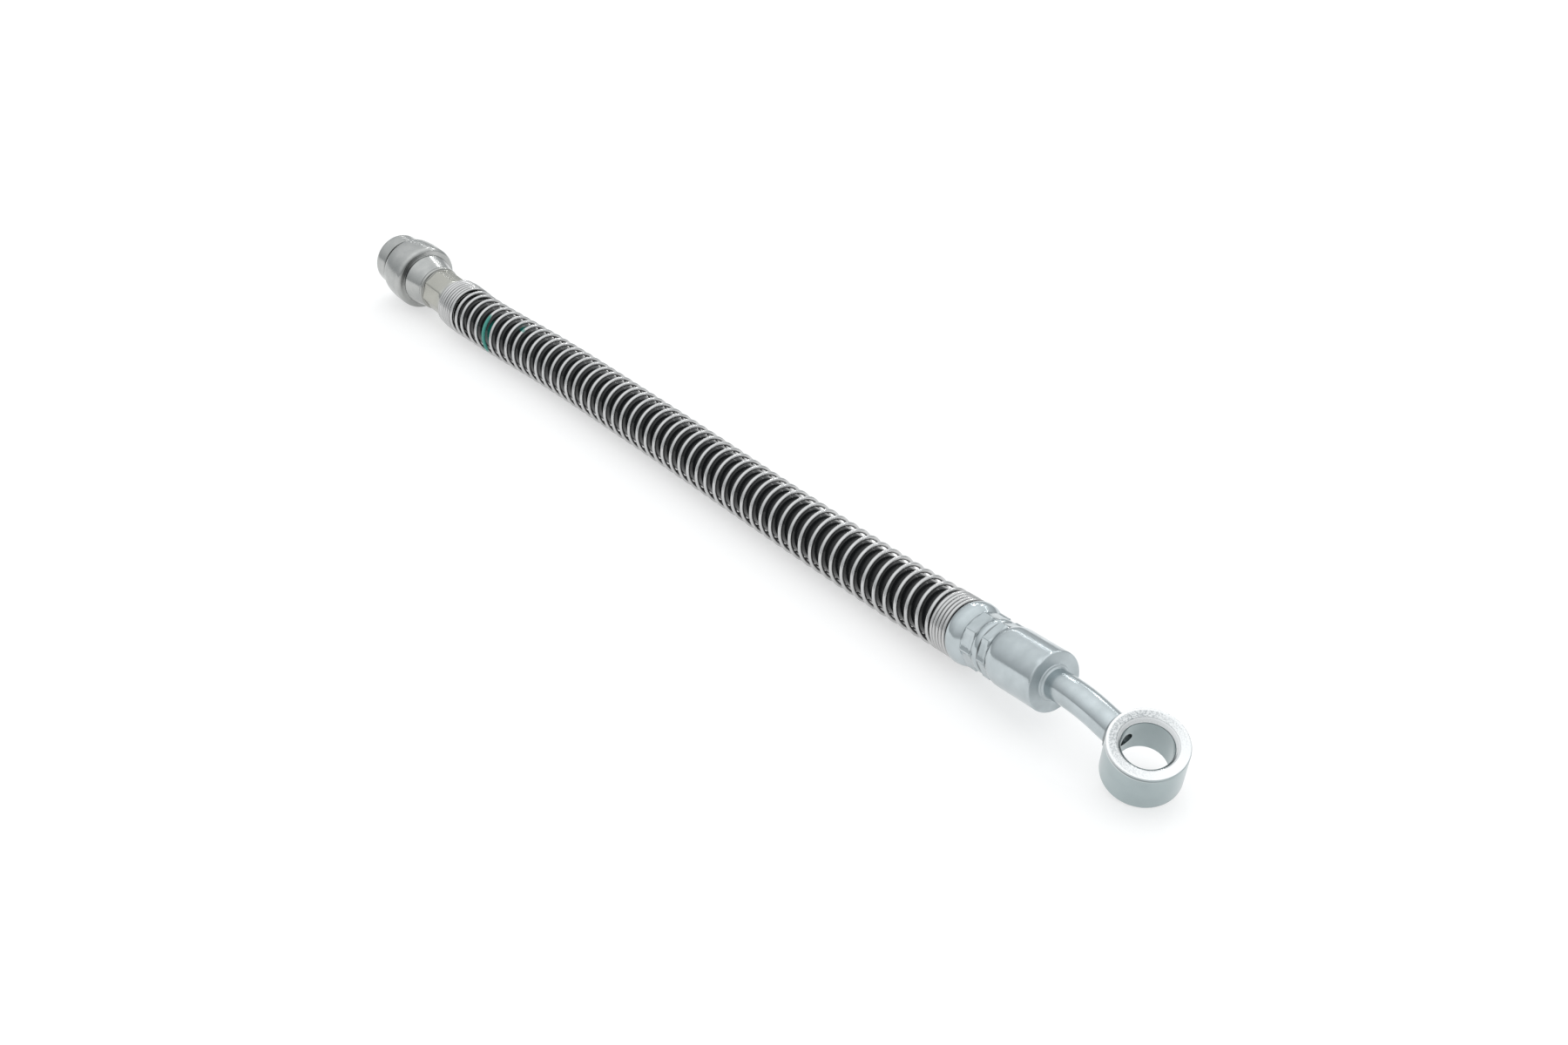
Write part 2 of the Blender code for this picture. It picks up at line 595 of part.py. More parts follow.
def banjo_eye(material):
    """The turned ring that the banjo bolt passes through, with a cross hole and the pipe's socket."""
    outer = EYE_DIAMETER / 2
    bore = EYE_BORE / 2
    half = EYE_THICKNESS / 2
    profile = [
        (-half, bore + EYE_CHAMFER),
        (-half, outer - EYE_EDGE),
        (-half + EYE_EDGE, outer),
        (half - EYE_EDGE, outer),
        (half, outer - EYE_EDGE),
        (half, bore + EYE_CHAMFER),
        (half - EYE_CHAMFER, bore),
        (-half + EYE_CHAMFER, bore),
    ]
    frame = eye_frame()
    upright = frame @ Matrix.Rotation(math.radians(-90), 4, "Y")
    eye = turned("banjo_eye", profile, EYE_SIDES, material, upright)
    socket_floor = math.sqrt(outer ** 2 - (PIPE_DIAMETER / 2) ** 2) - SOCKET_DEPTH
    cuts = (
        ("eye_socket_cutter", PIPE_DIAMETER / 2 + TOUCH_GAP, socket_floor, outer * 2),
        ("cross_hole_cutter", CROSS_HOLE / 2, bore / 2, outer),
    )
    for name, radius, start, end in cuts:
        bpy.ops.mesh.primitive_cylinder_add(vertices=PIPE_SIDES, radius=radius, depth=end - start)
        cutter = bpy.context.active_object
        cutter.name = name
        cutter.matrix_world = frame @ Matrix.Translation((-(start + end) / 2, 0.0, 0.0)) @ Matrix.Rotation(
            math.radians(90), 4, "Y")
        cutter.hide_render = True
        cutter.display_type = "WIRE"
        cut = eye.modifiers.new(name, "BOOLEAN")
        cut.operation = "DIFFERENCE"
        cut.solver = "EXACT"
        cut.object = cutter
    return eye


def build():
    """Makes every piece of the hose."""
    clear_scene()
    rubber = finish("black_rubber", (0.020, 0.021, 0.022), 0.30, 0.0)
    liner_rubber = finish("liner_rubber", (0.030, 0.030, 0.032), 0.55, 0.0)
    textile = finish("braid_textile", (0.62, 0.60, 0.54), 0.85, 0.0)
    wire = finish("bright_wire", (0.76, 0.77, 0.76), 0.22, 1.0)
    neutral_zinc = finish("neutral_zinc", (0.58, 0.59, 0.58), 0.32, 1.0)
    blue_zinc = finish("blue_zinc", (0.60, 0.64, 0.66), 0.30, 1.0)
    hose_layer("hose_liner", LINER_INNER, LINER_OUTER, liner_rubber)
    hose_layer("inner_braid", INNER_BRAID_INNER, INNER_BRAID_OUTER, textile)
    hose_layer("cushion_layer", CUSHION_INNER, CUSHION_OUTER, liner_rubber)
    hose_layer("outer_braid", OUTER_BRAID_INNER, OUTER_BRAID_OUTER, textile)
    hose_layer("hose_cover", COVER_INNER, HOSE_RADIUS, rubber)
    guard_spring(wire)
    female_fitting(neutral_zinc)
    banjo_ferrule(blue_zinc)
    banjo_pipe(blue_zinc)
    banjo_eye(blue_zinc)


build()
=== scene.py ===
"""A brake hose with its guard spring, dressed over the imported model.

The hose lies on a pale table as it would come to rest. +X runs from the female fitting to the
banjo eye and +Z is up. All sizes are in metres, except where a surface's own coordinates
are counted in millimetres.
"""
import math

import bpy
import numpy as np
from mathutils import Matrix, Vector


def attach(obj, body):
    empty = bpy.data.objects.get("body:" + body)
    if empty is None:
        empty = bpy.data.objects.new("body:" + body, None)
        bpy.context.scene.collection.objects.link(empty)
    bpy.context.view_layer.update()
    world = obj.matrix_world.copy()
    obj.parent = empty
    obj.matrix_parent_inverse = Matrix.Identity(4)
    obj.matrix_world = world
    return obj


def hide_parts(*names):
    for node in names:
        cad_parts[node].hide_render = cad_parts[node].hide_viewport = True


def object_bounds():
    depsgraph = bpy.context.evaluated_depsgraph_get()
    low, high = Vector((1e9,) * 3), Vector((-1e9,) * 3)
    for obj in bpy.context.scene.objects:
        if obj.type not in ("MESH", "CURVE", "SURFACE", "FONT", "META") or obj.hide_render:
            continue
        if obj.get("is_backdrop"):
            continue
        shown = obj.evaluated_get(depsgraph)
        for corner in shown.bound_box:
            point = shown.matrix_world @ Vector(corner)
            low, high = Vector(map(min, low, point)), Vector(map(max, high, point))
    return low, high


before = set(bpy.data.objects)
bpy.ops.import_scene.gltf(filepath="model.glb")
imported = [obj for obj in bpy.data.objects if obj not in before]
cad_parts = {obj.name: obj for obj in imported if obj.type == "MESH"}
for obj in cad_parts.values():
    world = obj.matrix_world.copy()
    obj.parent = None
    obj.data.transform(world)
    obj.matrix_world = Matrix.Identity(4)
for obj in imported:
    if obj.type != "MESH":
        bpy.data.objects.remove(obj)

cad_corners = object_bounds()


# The camera. The photograph looks down on the hose from beyond its banjo end, about thirty
# degrees above the table, and the hose lies slantwise across the middle half of the picture.
CAMERA_PLACE = (0.33166, -0.23873, 0.23335)
CAMERA_TURN = (math.radians(59.414), 0.0, math.radians(51.603))
CAMERA_LENS = 45.21

camera = bpy.data.objects.new("photo_camera", bpy.data.cameras.new("photo_camera"))
camera.location = CAMERA_PLACE
camera.rotation_euler = CAMERA_TURN
camera.data.lens = CAMERA_LENS
camera.data.clip_start = 0.01
bpy.context.scene.collection.objects.link(camera)
bpy.context.scene.camera = camera


# The hose. Five layers of rubber and textile braid end inside the fittings, which grip them.
# Only the extruded and cured outer cover shows, glossy black between the turns of the spring.
MOUTH_PLACE = (-0.11157, 0.00167, 0.00684)
HOSE_ROUTE = (
    # distance from the female fitting's mouth along X, and how far the line lies to the left and up
    (0.0000, 0.00060, 0.00039),
    (0.0040, 0.00066, 0.00015),
    (0.0100, 0.00074, 0.00000),
    (0.0200, 0.00095, 0.00000),
    (0.0350, 0.00152, 0.00000),
    (0.0500, 0.00168, 0.00000),
    (0.0650, 0.00156, 0.00000),
    (0.0800, 0.00134, 0.00000),
    (0.0950, 0.00112, 0.00000),
    (0.1100, 0.00078, 0.00000),
    (0.1250, 0.00040, 0.00000),
    (0.1400, 0.00006, 0.00000),
    (0.1550, -0.00018, 0.00000),
    (0.1757, -0.00030, 0.00000),
    (0.1830, -0.00036, 0.00012),
    (0.1910, -0.00060, 0.00058),
    (0.1990, -0.00103, 0.00125),
)
# each fitting's turn sideways and its rise
FEMALE_HEADING = (math.radians(0.7), math.radians(-4.34))
FERRULE_HEADING = (math.radians(-4.97), math.radians(5.7))
ROUTE_SAMPLES = 60
TANGENT_STEP = 0.0004
COVER_RADIUS = 0.0054
COVER_WALL = 0.0010
# the radius of the nipples, which don't give way, and how far the hose reaches into the fittings
HOSE_CORE = 0.0016
HOSE_INSERTS = (0.02628, 0.02650)
TOUCH_GAP = 0.0003
MILLIMETRE = 0.001


def heading(yaw, rise):
    """The unit vector along +X after a turn sideways by yaw and a rise upwards."""
    return np.array((math.cos(rise) * math.cos(yaw), math.cos(rise) * math.sin(yaw), math.sin(rise)))


def hose_line():
    """The hose's centre line, with the length along it: each stretch between two route points is
    the cubic whose slopes at its ends are those of its neighbours."""
    points = np.array(HOSE_ROUTE) + np.array(MOUTH_PLACE)
    knots = np.concatenate(([0.0], np.cumsum(np.linalg.norm(np.diff(points, axis=0), axis=1))))
    slopes = np.gradient(points, knots, axis=0)
    slopes[0], slopes[-1] = heading(*FEMALE_HEADING), heading(*FERRULE_HEADING)
    t = np.linspace(0.0, 1.0, ROUTE_SAMPLES, endpoint=False)[None, :, None]
    length = np.diff(knots)[:, None, None]
    before, after = points[:-1, None], points[1:, None]
    curve = ((2 * t ** 3 - 3 * t ** 2 + 1) * before
             + (t ** 3 - 2 * t ** 2 + t) * length * slopes[:-1, None]
             + (3 * t ** 2 - 2 * t ** 3) * after
             + (t ** 3 - t ** 2) * length * slopes[1:, None])
    curve = np.concatenate((curve.reshape(-1, 3), points[-1:]))
    return curve, np.concatenate(([0.0], np.cumsum(np.linalg.norm(np.diff(curve, axis=0), axis=1))))


LINE, LINE_DISTANCE = hose_line()
FREE_LENGTH = LINE_DISTANCE[-1]


def unit(vectors):
    """Each vector divided by its own length."""
    return vectors / np.linalg.norm(vectors, axis=-1, keepdims=True)


def along_hose(distance):
    """Points on the centre line and the directions along, to the side and up there. Distances run
    from the female fitting's mouth, and past both mouths the line goes straight on."""
    distance = np.atleast_1d(np.asarray(distance, float))
    inside = np.clip(distance, 0.0, FREE_LENGTH)
    read = lambda where: np.stack([np.interp(where, LINE_DISTANCE, LINE[:, k]) for k in range(3)], -1)
    along = unit(read(inside + TANGENT_STEP) - read(inside - TANGENT_STEP))
    along[distance <= 0.0] = heading(*FEMALE_HEADING)
    along[distance >= FREE_LENGTH] = heading(*FERRULE_HEADING)
    side = unit(np.cross((0.0, 0.0, 1.0), along))
    return read(inside) + along * (distance - inside)[:, None], along, side, np.cross(along, side)


def skin(name, grid, material, body, closed=False, caps=False, lay=None, **marks):
    """A piece whose surface passes through rows and columns of points. Its columns close into a
    ring, its rows too where it is closed, and caps cover the first and last ring. Faces turn
    outwards by the sign of the volume that they hold. lay and marks are kept point by point."""
    rows, columns = grid.shape[:2]
    row = np.arange(rows if closed else rows - 1)[:, None]
    column = np.arange(columns)[None, :]
    corner = lambda i, j: i % rows * columns + j % columns
    faces = np.stack((corner(row, column), corner(row, column + 1),
                      corner(row + 1, column + 1), corner(row + 1, column)), -1).reshape(-1, 4)
    points = grid.reshape(-1, 3)
    a, b, c, d = (points[faces[:, k]] - points.mean(0) for k in range(4))
    inside_out = (np.cross(a, b) * c + np.cross(a, c) * d).sum() < 0
    faces = (faces[:, ::-1] if inside_out else faces).tolist()
    if caps:
        ends = [list(range(columns))[::-1], list(range((rows - 1) * columns, rows * columns))]
        faces += [end[::-1] for end in ends] if inside_out else ends
    mesh = bpy.data.meshes.new(name)
    mesh.from_pydata(points.tolist(), [], faces)
    if lay is not None:
        mesh.attributes.new("lay", "FLOAT_VECTOR", "POINT").data.foreach_set("vector", lay.reshape(-1))
    for mark, amount in marks.items():
        mesh.attributes.new(mark, "FLOAT", "POINT").data.foreach_set("value", amount.reshape(-1))
    mesh.shade_smooth()
    mesh.materials.append(material)
    piece = bpy.data.objects.new(name, mesh)
    bpy.context.scene.collection.objects.link(piece)
    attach(piece, body)
    return piece


def round_angles(columns):
    """The angles of that many columns spread evenly round a ring, in one row."""
    return np.linspace(0.0, 2 * np.pi, columns, endpoint=False)[None, :]


def off_angle(angle, direction):
    """How far an angle lies from a direction, between minus and plus half a turn."""
    return (angle - direction + np.pi) % (2 * np.pi) - np.pi


def ring_points(centre, radius, angle, side, up):
    """A ring round each place of a line: point = centre + radius * (cos * side + sin * up)."""
    return centre[:, None] + radius[:, None, None] * (
        np.cos(angle)[..., None] * side[:, None] + np.sin(angle)[..., None] * up[:, None])


def ring_lay(distance, angle):
    """A ring surface's own coordinates: millimetres along it, and the cosine and sine of the angle
    round it, so that a pattern meets itself at the seam."""
    shape = np.broadcast_shapes(distance.shape, angle.shape)
    return np.stack([np.broadcast_to(part, shape) for part in (
        distance / MILLIMETRE, np.cos(angle), np.sin(angle))], -1)


def new_material(name, colour, roughness, metallic=0.0):
    """A Principled material with those values, and the tools to build its nodes."""
    material = bpy.data.materials.new(name)
    material.use_nodes = True
    nodes, links = material.node_tree.nodes, material.node_tree.links
    shader = nodes["Principled BSDF"]
    shader.inputs["Base Color"].default_value = (*colour, 1.0)
    shader.inputs["Roughness"].default_value = roughness
    shader.inputs["Metallic"].default_value = metallic
    return material, nodes, links, shader


def attribute(nodes, name):
    """The node that reads what skin kept point by point under that name."""
    node = nodes.new("ShaderNodeAttribute")
    node.attribute_name = name
    return node


def pattern(nodes, links, source, stretch, detail=3.0):
    """Noise between 0 and 1 over the lay attribute or the object's own coordinates, with each
    coordinate stretched by its own factor first."""
    if source == "lay":
        output = attribute(nodes, "lay").outputs["Vector"]
    else:
        output = nodes.new("ShaderNodeTexCoord").outputs["Object"]
    mapping = nodes.new("ShaderNodeMapping")
    mapping.inputs["Scale"].default_value = stretch
    noise = nodes.new("ShaderNodeTexNoise")
    noise.inputs["Scale"].default_value = 1.0
    noise.inputs["Detail"].default_value = detail
    links.new(output, mapping.inputs["Vector"])
    links.new(mapping.outputs["Vector"], noise.inputs["Vector"])
    return noise.outputs["Fac"]


def between(nodes, links, amount, low, high, start=0.3, stop=0.7):
    """The amount spread over start to stop, as a value from low to high."""
    spread = nodes.new("ShaderNodeMapRange")
    for socket, value in zip(("From Min", "From Max", "To Min", "To Max"), (start, stop, low, high)):
        spread.inputs[socket].default_value = value
    links.new(amount, spread.inputs["Value"])
    return spread.outputs["Result"]


def blend_colours(nodes, links, amount, first, second):
    """A colour that goes from the first to the second with the amount. Each is a colour or a socket."""
    mix = nodes.new("ShaderNodeMix")
    mix.data_type = "RGBA"
    links.new(amount, mix.inputs["Factor"])
    for socket, colour in ((mix.inputs[6], first), (mix.inputs[7], second)):
        if isinstance(colour, tuple):
            socket.default_value = (*colour, 1.0)
        else:
            links.new(colour, socket)
    return mix.outputs[2]


def add_bumps(nodes, links, shader, *layers):
    """Bump nodes in a row: each layer is a height, its depth in metres and its strength."""
    below = None
    for height, depth, strength in layers:
        bump = nodes.new("ShaderNodeBump")
        bump.inputs["Distance"].default_value = depth
        bump.inputs["Strength"].default_value = strength
        links.new(height, bump.inputs["Height"])
        if below is not None:
            links.new(below, bump.inputs["Normal"])
        below = bump.outputs["Normal"]
    links.new(below, shader.inputs["Normal"])


RUBBER_PAINT = (0.004, 0.085, 0.070)


def cover_rubber():
    """Glossy black rubber with faint lengthwise drawing marks and duller patches, under a thin coat
    of green paint where it is marked."""
    material, nodes, links, shader = new_material("cover_rubber", (0.010, 0.011, 0.012), 0.11)
    shader.inputs["Specular IOR Level"].default_value = 0.28
    drawn = pattern(nodes, links, "lay", (0.05, 9.0, 9.0), 4.0)
    patches = pattern(nodes, links, "lay", (0.22, 1.6, 1.6), 4.0)
    grain = pattern(nodes, links, "object", (5200.0, 5200.0, 5200.0), 2.0)
    amount = between(nodes, links, attribute(nodes, "paint").outputs["Fac"], 0.0, 1.0, 0.25, 0.75)
    rubber = blend_colours(nodes, links, patches, (0.006, 0.0065, 0.007), (0.014, 0.015, 0.016))
    links.new(blend_colours(nodes, links, amount, rubber, RUBBER_PAINT), shader.inputs["Base Color"])
    links.new(between(nodes, links, patches, 0.07, 0.15), shader.inputs["Roughness"])
    add_bumps(nodes, links, shader, (drawn, 0.00003, 0.35), (grain, 0.00001, 0.2))
    return material


# How far the crimped fittings press the hose in: distances from the female fitting's mouth and the
# depths there, then distances from the ferrule's mouth and the depths there.
SQUEEZE = (
    np.array((-0.02628, -0.0235, -0.0163, -0.00025, 0.0020)),
    np.array((0.0, 0.0, 0.00125, 0.00125, 0.0)),
    np.array((-0.0020, 0.00025, 0.0042, 0.0052, 0.0072, 0.0082, 0.0160, 0.0180, 0.0265)),
    np.array((0.0, 0.0007, 0.0007, 0.0, 0.0, 0.0011, 0.0011, 0.0, 0.0)),
)
COVER_RINGS = 420
COVER_COLUMNS = 72
HOSE_PAINT = (
    # distance, angle round the hose, and how far the paint reaches along and round
    (0.0178, math.radians(167), 0.0013, math.radians(42)),
    (0.0282, math.radians(93), 0.0013, math.radians(15)),
)


def painted(distance, angle, spots):
    """How much paint there is: 1 in the middle of each spot, and less by half the square of the way
    from there along the hose and round it, both counted in the spot's reaches."""
    amount = np.zeros(np.broadcast_shapes(distance.shape, angle.shape))
    for middle, direction, reach, spread in spots:
        along_way = (distance - middle) / reach
        round_way = off_angle(angle, direction) / spread
        amount = np.maximum(amount, 1.0 - along_way ** 2 / 2 - round_way ** 2 / 2)
    return np.clip(amount, 0.0, 1.0)


def hose_cover():
    """The cover as a tube: a ring at each distance along the centre line, outside from the female
    end to the banjo end and inside back again, pressed in where the fittings are crimped."""
    distance = np.linspace(-HOSE_INSERTS[0], FREE_LENGTH + HOSE_INSERTS[1], COVER_RINGS)
    pressed = (np.interp(distance, SQUEEZE[0], SQUEEZE[1])
               + np.interp(distance - FREE_LENGTH, SQUEEZE[2], SQUEEZE[3]))
    share = (COVER_RADIUS - COVER_WALL - HOSE_CORE) / (COVER_RADIUS - HOSE_CORE)
    inner = COVER_RADIUS - COVER_WALL - share * pressed
    radius = np.concatenate((COVER_RADIUS - pressed, inner[::-1]))
    distance = np.concatenate((distance, distance[::-1]))
    centre, _, side, up = along_hose(distance)
    angle = round_angles(COVER_COLUMNS)
    piece = skin("hose_cover_skin", ring_points(centre, radius, angle, side, up), cover_rubber(), "root",
                 closed=True, lay=ring_lay(distance[:, None], angle),
                 paint=painted(distance[:, None], angle, HOSE_PAINT))
    return piece, centre[:COVER_RINGS]


cover, cover_path = hose_cover()
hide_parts("hose_cover")
tuple(along_hose(0.0)[0][0])


# The hose's inner layers. They stay inside the cover and the fittings: a smooth liner, two
# braids of twisted textile yarn and a thin rubber cushion between them.
BRAID_YARNS = 1500.0
BRAID_LEAN = math.radians(35)


def layer_rubber():
    """Matt black rubber with a fine grain, as it is left by the inner tube's mandrel."""
    material, nodes, links, shader = new_material("layer_rubber", (0.020, 0.020, 0.021), 0.5)
    patches = pattern(nodes, links, "object", (300.0, 900.0, 900.0), 3.0)
    grain = pattern(nodes, links, "object", (4000.0, 4000.0, 4000.0), 2.0)
    links.new(blend_colours(nodes, links, patches, (0.016, 0.016, 0.017), (0.030, 0.030, 0.031)),
              shader.inputs["Base Color"])
    links.new(between(nodes, links, patches, 0.42, 0.6), shader.inputs["Roughness"])
    add_bumps(nodes, links, shader, (grain, 0.00002, 0.4))
    return material


def braid_yarn():
    """Off-white yarn: two sets of thin bands cross each other at an angle, with fuzz on them."""
    material, nodes, links, shader = new_material("braid_yarn", (0.60, 0.58, 0.52), 0.85)
    place = nodes.new("ShaderNodeTexCoord")
    bands = []
    for lean in (BRAID_LEAN, -BRAID_LEAN):
        turn = nodes.new("ShaderNodeMapping")
        turn.inputs["Rotation"].default_value = (0.0, lean, lean)
        wave = nodes.new("ShaderNodeTexWave")
        wave.inputs["Scale"].default_value = BRAID_YARNS / (2 * math.pi)
        wave.inputs["Distortion"].default_value = 0.6
        links.new(place.outputs["Object"], turn.inputs["Vector"])
        links.new(turn.outputs["Vector"], wave.inputs["Vector"])
        bands.append(wave.outputs["Fac"])
    fuzz = pattern(nodes, links, "object", (6000.0, 6000.0, 6000.0), 3.0)
    links.new(blend_colours(nodes, links, bands[0], (0.47, 0.45, 0.40), (0.68, 0.66, 0.60)),
              shader.inputs["Base Color"])
    links.new(between(nodes, links, fuzz, 0.75, 0.95), shader.inputs["Roughness"])
    add_bumps(nodes, links, shader,
              (bands[0], 0.0001, 0.7), (bands[1], 0.0001, 0.7), (fuzz, 0.00003, 0.4))
    return material


rubber_layers, braid_layers = layer_rubber(), braid_yarn()
for node, material in (("hose_liner", rubber_layers), ("inner_braid", braid_layers),
                       ("cushion_layer", rubber_layers), ("outer_braid", braid_layers)):
    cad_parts[node].material_slots[0].material = material


# The female fitting. One steel turning, zinc plated to a neutral grey: a threaded port with a
# flare seat inside, a collar, a clip groove, a flange, and a skirt crimped on the hose.
TURNED_COLUMNS = 144
FEMALE_OUTSIDE = (
    # distance from the skirt's mouth, radius, and how far the corner is rounded
    (0.0000, 0.00560, 0.0003),
    (0.0072, 0.00560, 0.0003),
    (0.0079, 0.00552, 0.0004),
    (0.0148, 0.00556, 0.0008),
    (0.0160, 0.00556, 0.0002),
    (0.0162, 0.00614, 0.0002),
    (0.0168, 0.00622, 0.0003),
    (0.0172, 0.00608, 0.0002),
    (0.0199, 0.00664, 0.0020),
    (0.0228, 0.00732, 0.0003),
    (0.0231, 0.00712, 0.0002),
    (0.0235, 0.00712, 0.0002),
    (0.0236, 0.00776, 0.0002),
    (0.0236, 0.00840, 0.0005),
    (0.0243, 0.00905, 0.0009),
    (0.0287, 0.00905, 0.0020),
    (0.0326, 0.00860, 0.0022),
    (0.0330, 0.00745, 0.0002),
    (0.0331, 0.00590, 0.0002),
    (0.0344, 0.00590, 0.0002),
    (0.0345, 0.00735, 0.0003),
    (0.0392, 0.00735, 0.0011),
    (0.0392, 0.00560, 0.0003),
)
PORT_MINOR = 0.00450
# the thread's start and end, its pitch and its depth, and how near a row lies to be in the port
PORT_THREAD = (0.0292, 0.0386, 0.0010, 0.00045)
PORT_THREAD_ROWS = 150
PORT_NEARNESS = 1e-6
FEMALE_INSIDE = (
    (0.0392, 0.00510, 0.0001),
    (0.0386, PORT_MINOR, 0.0002),
)
PORT_BOTTOM = (
    (0.0287, PORT_MINOR, 0.0002),
    (0.0303, 0.00210, 0.0002),
    (0.0303, 0.00090, 0.0001),
    (0.0010, 0.00090, 0.0001),
    (0.0010, 0.00120, 0.0002),
    (0.0120, 0.00138, 0.0010),
    (0.0267, 0.00130, 0.0002),
    (0.0267, 0.00570, 0.0002),
    (0.0235, 0.00570, 0.0010),
    (0.0163, 0.00445, 0.0010),
    (0.0000, 0.00445, 0.0002),
)
# the neck between the skirt and the lip: how far it comes towards an eight-sided bar, how that is
# turned, and how strongly and how softly the jaws rubbed it
NECK_BAND = (0.0080, 0.0160)
NECK_SLOPE = 0.0008
NECK_SHARE = 0.8
NECK_TURN = math.radians(14)
NECK_RUBBED = 0.8
RUBBED_SLOPE = 0.002
NECK_LEAST_RADIUS = 0.0050
JAWS = 8
# a corner's arc starts one cut away from it and its supporting points stand a little further off,
# but neither goes past its share of the side
CORNER_STEPS = 5
CORNER_POINTS = CORNER_STEPS + 2
CORNER_REACHES = ((1.0, 0.42), (1.6, 0.48))
OUTLINE_GAP = 0.0003
SHADED_LEAST_RADIUS = 0.0052
# painted shade: the female fitting's recesses are painted darker, most on one side
FEMALE_SHADE = (
    # distance, reach along, strength, and the middle and the reach of the shaded side
    (0.0161, 0.00012, 0.5, math.radians(40), 1.0),
    (0.0234, 0.00040, 0.85, math.radians(32), 0.6),
    (0.0337, 0.00080, 0.7, math.radians(60), 2.0),
)


def rounded(corners):
    """A closed outline through corners of (distance, radius, cut). Each corner is the parabola
    that touches both its sides one cut away from it, and a further point a little way off on
    either side keeps the flats flat."""
    corners = np.asarray(corners, float)
    spots, cut = corners[:, :2], corners[:, 2:]
    sides = []
    for shift in (1, -1):
        gap = np.roll(spots, shift, axis=0) - spots
        length = np.maximum(np.linalg.norm(gap, axis=1, keepdims=True), 1e-9)
        sides.append([spots + gap / length * np.minimum(cut * reach, share * length)
                      for reach, share in CORNER_REACHES])
    (start, far_start), (end, far_end) = sides
    t = np.linspace(0.0, 1.0, CORNER_STEPS)[None, :, None]
    arcs = (1 - t) ** 2 * start[:, None] + 2 * t * (1 - t) * spots[:, None] + t ** 2 * end[:, None]
    return np.concatenate((far_start[:, None], arcs, far_end[:, None]), axis=1).reshape(-1, 2)


def closer(outline):
    """The outline with further points on every side that is longer than the outline's gap."""
    steps = np.linalg.norm(np.diff(outline, axis=0), axis=1)
    shares = np.maximum(np.ceil(steps / OUTLINE_GAP), 1).astype(int)
    place = np.repeat(np.arange(len(shares)), shares)
    first = np.repeat(np.cumsum(shares) - shares, shares)
    place = np.append(place + (np.arange(shares.sum()) - first) / shares[place], len(shares))
    return np.stack([np.interp(place, np.arange(len(outline)), outline[:, k]) for k in range(2)], -1)


def lathe(outline, place, columns, shape=None):
    """Spins an outline of (distance, radius) round an axis: point = origin + distance * along +
    radius * (cos * side + sin * up). shape may change the radii. Returns the grid and its lay."""
    origin, along, side, up = place
    angle = round_angles(columns)
    distance = np.broadcast_to(outline[:, :1], (len(outline), columns))
    radius = np.broadcast_to(outline[:, 1:], (len(outline), columns))
    if shape is not None:
        radius = shape(distance, radius, angle)
    grid = (origin + distance[..., None] * along + (radius * np.cos(angle))[..., None] * side
            + (radius * np.sin(angle))[..., None] * up)
    steps = np.linalg.norm(np.diff(outline, axis=0, prepend=outline[:1]), axis=1)
    return grid, ring_lay(np.cumsum(steps)[:, None], angle)


def bell(value, middle, reach):
    """1 at the middle, falling as a bell curve, and about a third of that one reach away."""
    return np.exp(-((value - middle) / reach) ** 2)


def soiled(outline, columns, places):
    """How dark the painted shade is: strongest in the middle of each recess and on the side where
    the shade falls, none a little way off, and none inside the piece."""
    angle = round_angles(columns)
    amount = sum(
        strength * bell(outline[:, :1], middle, reach) * bell(off_angle(angle, direction), 0.0, spread)
        for middle, reach, strength, direction, spread in places)
    return np.clip(amount, 0.0, 1.0) * (outline[:, 1:] > SHADED_LEAST_RADIUS)


def plateau(value, start, end, slope):
    """1 between start and end, 0 outside, with a smooth slope at both ends."""
    rise = np.clip((value - start) / slope + 0.5, 0.0, 1.0)
    fall = np.clip((end - value) / slope + 0.5, 0.0, 1.0)
    return (rise * fall) ** 2 * (3 - 2 * rise * fall)


def facets(angle, count, turn):
    """The radius of a polygon of that many sides over its inscribed circle, less one: 0 at the
    middle of each side and largest at the corners."""
    step = 2 * np.pi / count
    off = (angle - turn + step / 2) % step - step / 2
    return 1 / np.cos(off) - 1


def female_shape(distance, radius, angle):
    """The crimped neck is nearly eight-sided, and the port's wall is threaded for a pipe nut: a
    triangle wave that climbs one pitch for each turn."""
    neck = plateau(distance, *NECK_BAND, NECK_SLOPE) * (radius > NECK_LEAST_RADIUS)
    radius = radius * (1 + NECK_SHARE * neck * facets(angle, JAWS, NECK_TURN))
    start, end, pitch, depth = PORT_THREAD
    wave = np.abs(((distance - start) / pitch - angle / (2 * np.pi)) % 1.0 * 2 - 1)
    in_port = np.abs(radius - PORT_MINOR) < PORT_NEARNESS
    return radius + depth * wave * in_port * plateau(distance, start + pitch / 2, end - pitch / 2, pitch)


# painted shade: the dark colour that recesses in the plating are painted
ZINC_SHADE_COLOUR = (0.035, 0.037, 0.037)
RUBBED_ZINC = (0.42, 0.415, 0.37)
ROUGHNESS_SPREAD = 0.06
MATT_ROUGHNESS = 0.3


